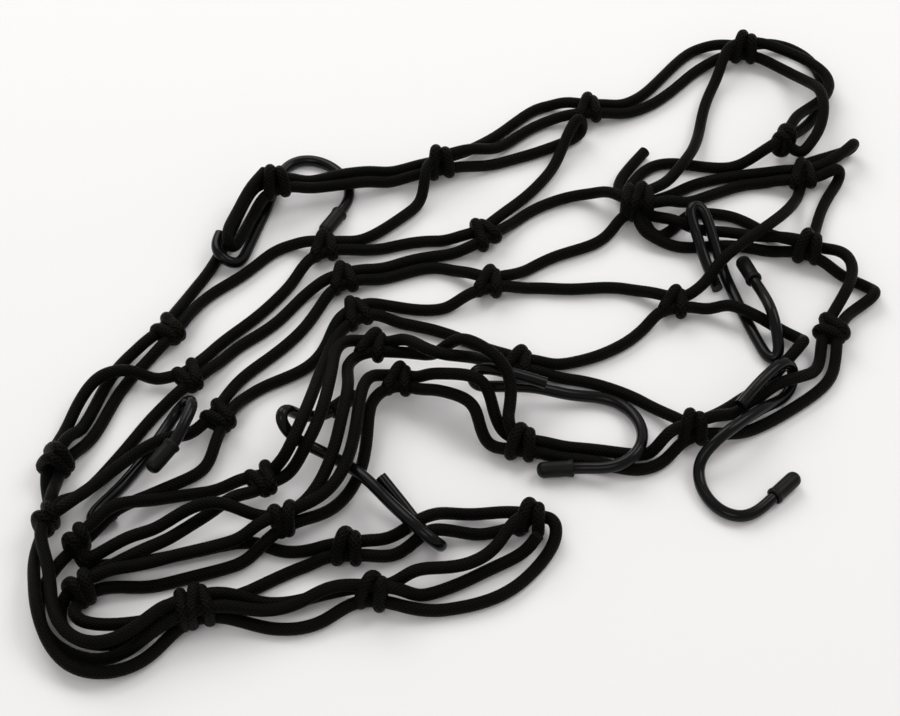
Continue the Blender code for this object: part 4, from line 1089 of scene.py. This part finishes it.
def turned(name, mouth, axis, profile, finish, count=32):
    """Spin a profile around an axis that starts at the mouth."""
    d = Vector(axis).normalized()
    u = d.cross(Vector((0, 0, 1))).normalized()
    v = d.cross(u)
    verts = []
    rows = []
    for along, r in profile:
        ring = []
        for i in range(count if r > 0 else 1):
            t = 2 * math.pi * i / count
            p = Vector(mouth) + d * along + (u * math.cos(t) + v * math.sin(t)) * r
            ring.append(len(verts))
            verts.append(to_metres(p))
        rows.append(ring)
    faces = []
    for a, b in zip(rows[:-1], rows[1:]):
        for i in range(count):
            j = (i + 1) % count
            quad = [a[i % len(a)], a[j % len(a)], b[j % len(b)], b[i % len(b)]]
            faces.append(tuple(dict.fromkeys(quad)))
    mesh = bpy.data.meshes.new(name)
    mesh.from_pydata(verts, [], faces)
    work = bmesh.new()
    work.from_mesh(mesh)
    bmesh.ops.recalc_face_normals(work, faces=work.faces)
    work.to_mesh(mesh)
    work.free()
    mesh.polygons.foreach_set("use_smooth", [True] * len(mesh.polygons))
    mesh.materials.append(finish)
    return placed(name, mesh)


for name, (mouth, axis) in hook_ends.items():
    piece = turned("rubber_" + name, mouth, axis, CAP_PROFILE, CAP_FINISH)
    flattened(piece)
    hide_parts("cap_" + name)
    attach(piece, "root")
print("caps turned")

# %% [markdown]
# ## Floor
# The net lies on a seamless sheet of white paper, far larger than the view.

# %% Floor
floor_mesh = bpy.data.meshes.new("floor")
floor_mesh.from_pydata([(-4, -4, 0), (4, -4, 0), (4, 4, 0), (-4, 4, 0)], [], [(0, 1, 2, 3)])
floor = placed("floor", floor_mesh)
paper = bpy.data.materials.new("white paper")
paper.use_nodes = True
sheet = paper.node_tree.nodes["Principled BSDF"].inputs
sheet["Base Color"].default_value = (0.93, 0.92, 0.92, 1)
sheet["Roughness"].default_value = 0.8
floor_mesh.materials.append(paper)
print("floor laid")


# %% [markdown]
# ## Light
# One large soft lamp from behind and to the left gives the soft shadows that fall forward and to
# the right. Two weaker lamps and a pale surround fill them.

# %% Lights
def soft_light(name, place, size, power):
    """A round lamp that faces the middle of the net; size in metres, power in watts."""
    data = bpy.data.lights.new(name, "AREA")
    data.shape = "DISK"
    data.size = size
    data.energy = power
    lamp = placed(name, data)
    lamp.location = place
    lamp.rotation_euler = (-Vector(place)).to_track_quat("-Z", "Y").to_euler()


soft_light("key", (-0.55, 1.15, 1.25), 1.3, 12.5)
soft_light("side", (1.0, 0.5, 1.5), 1.0, 8.0)
soft_light("front", (-0.5, -1.1, 1.6), 1.0, 5.0)
world = bpy.data.worlds.new("surround")
world.use_nodes = True
surround = world.node_tree.nodes["Background"].inputs
surround["Color"].default_value = (1.0, 0.968, 0.962, 1)
surround["Strength"].default_value = 0.5
bpy.context.scene.world = world
bpy.context.scene.view_settings.view_transform = "Standard"
print("lit")
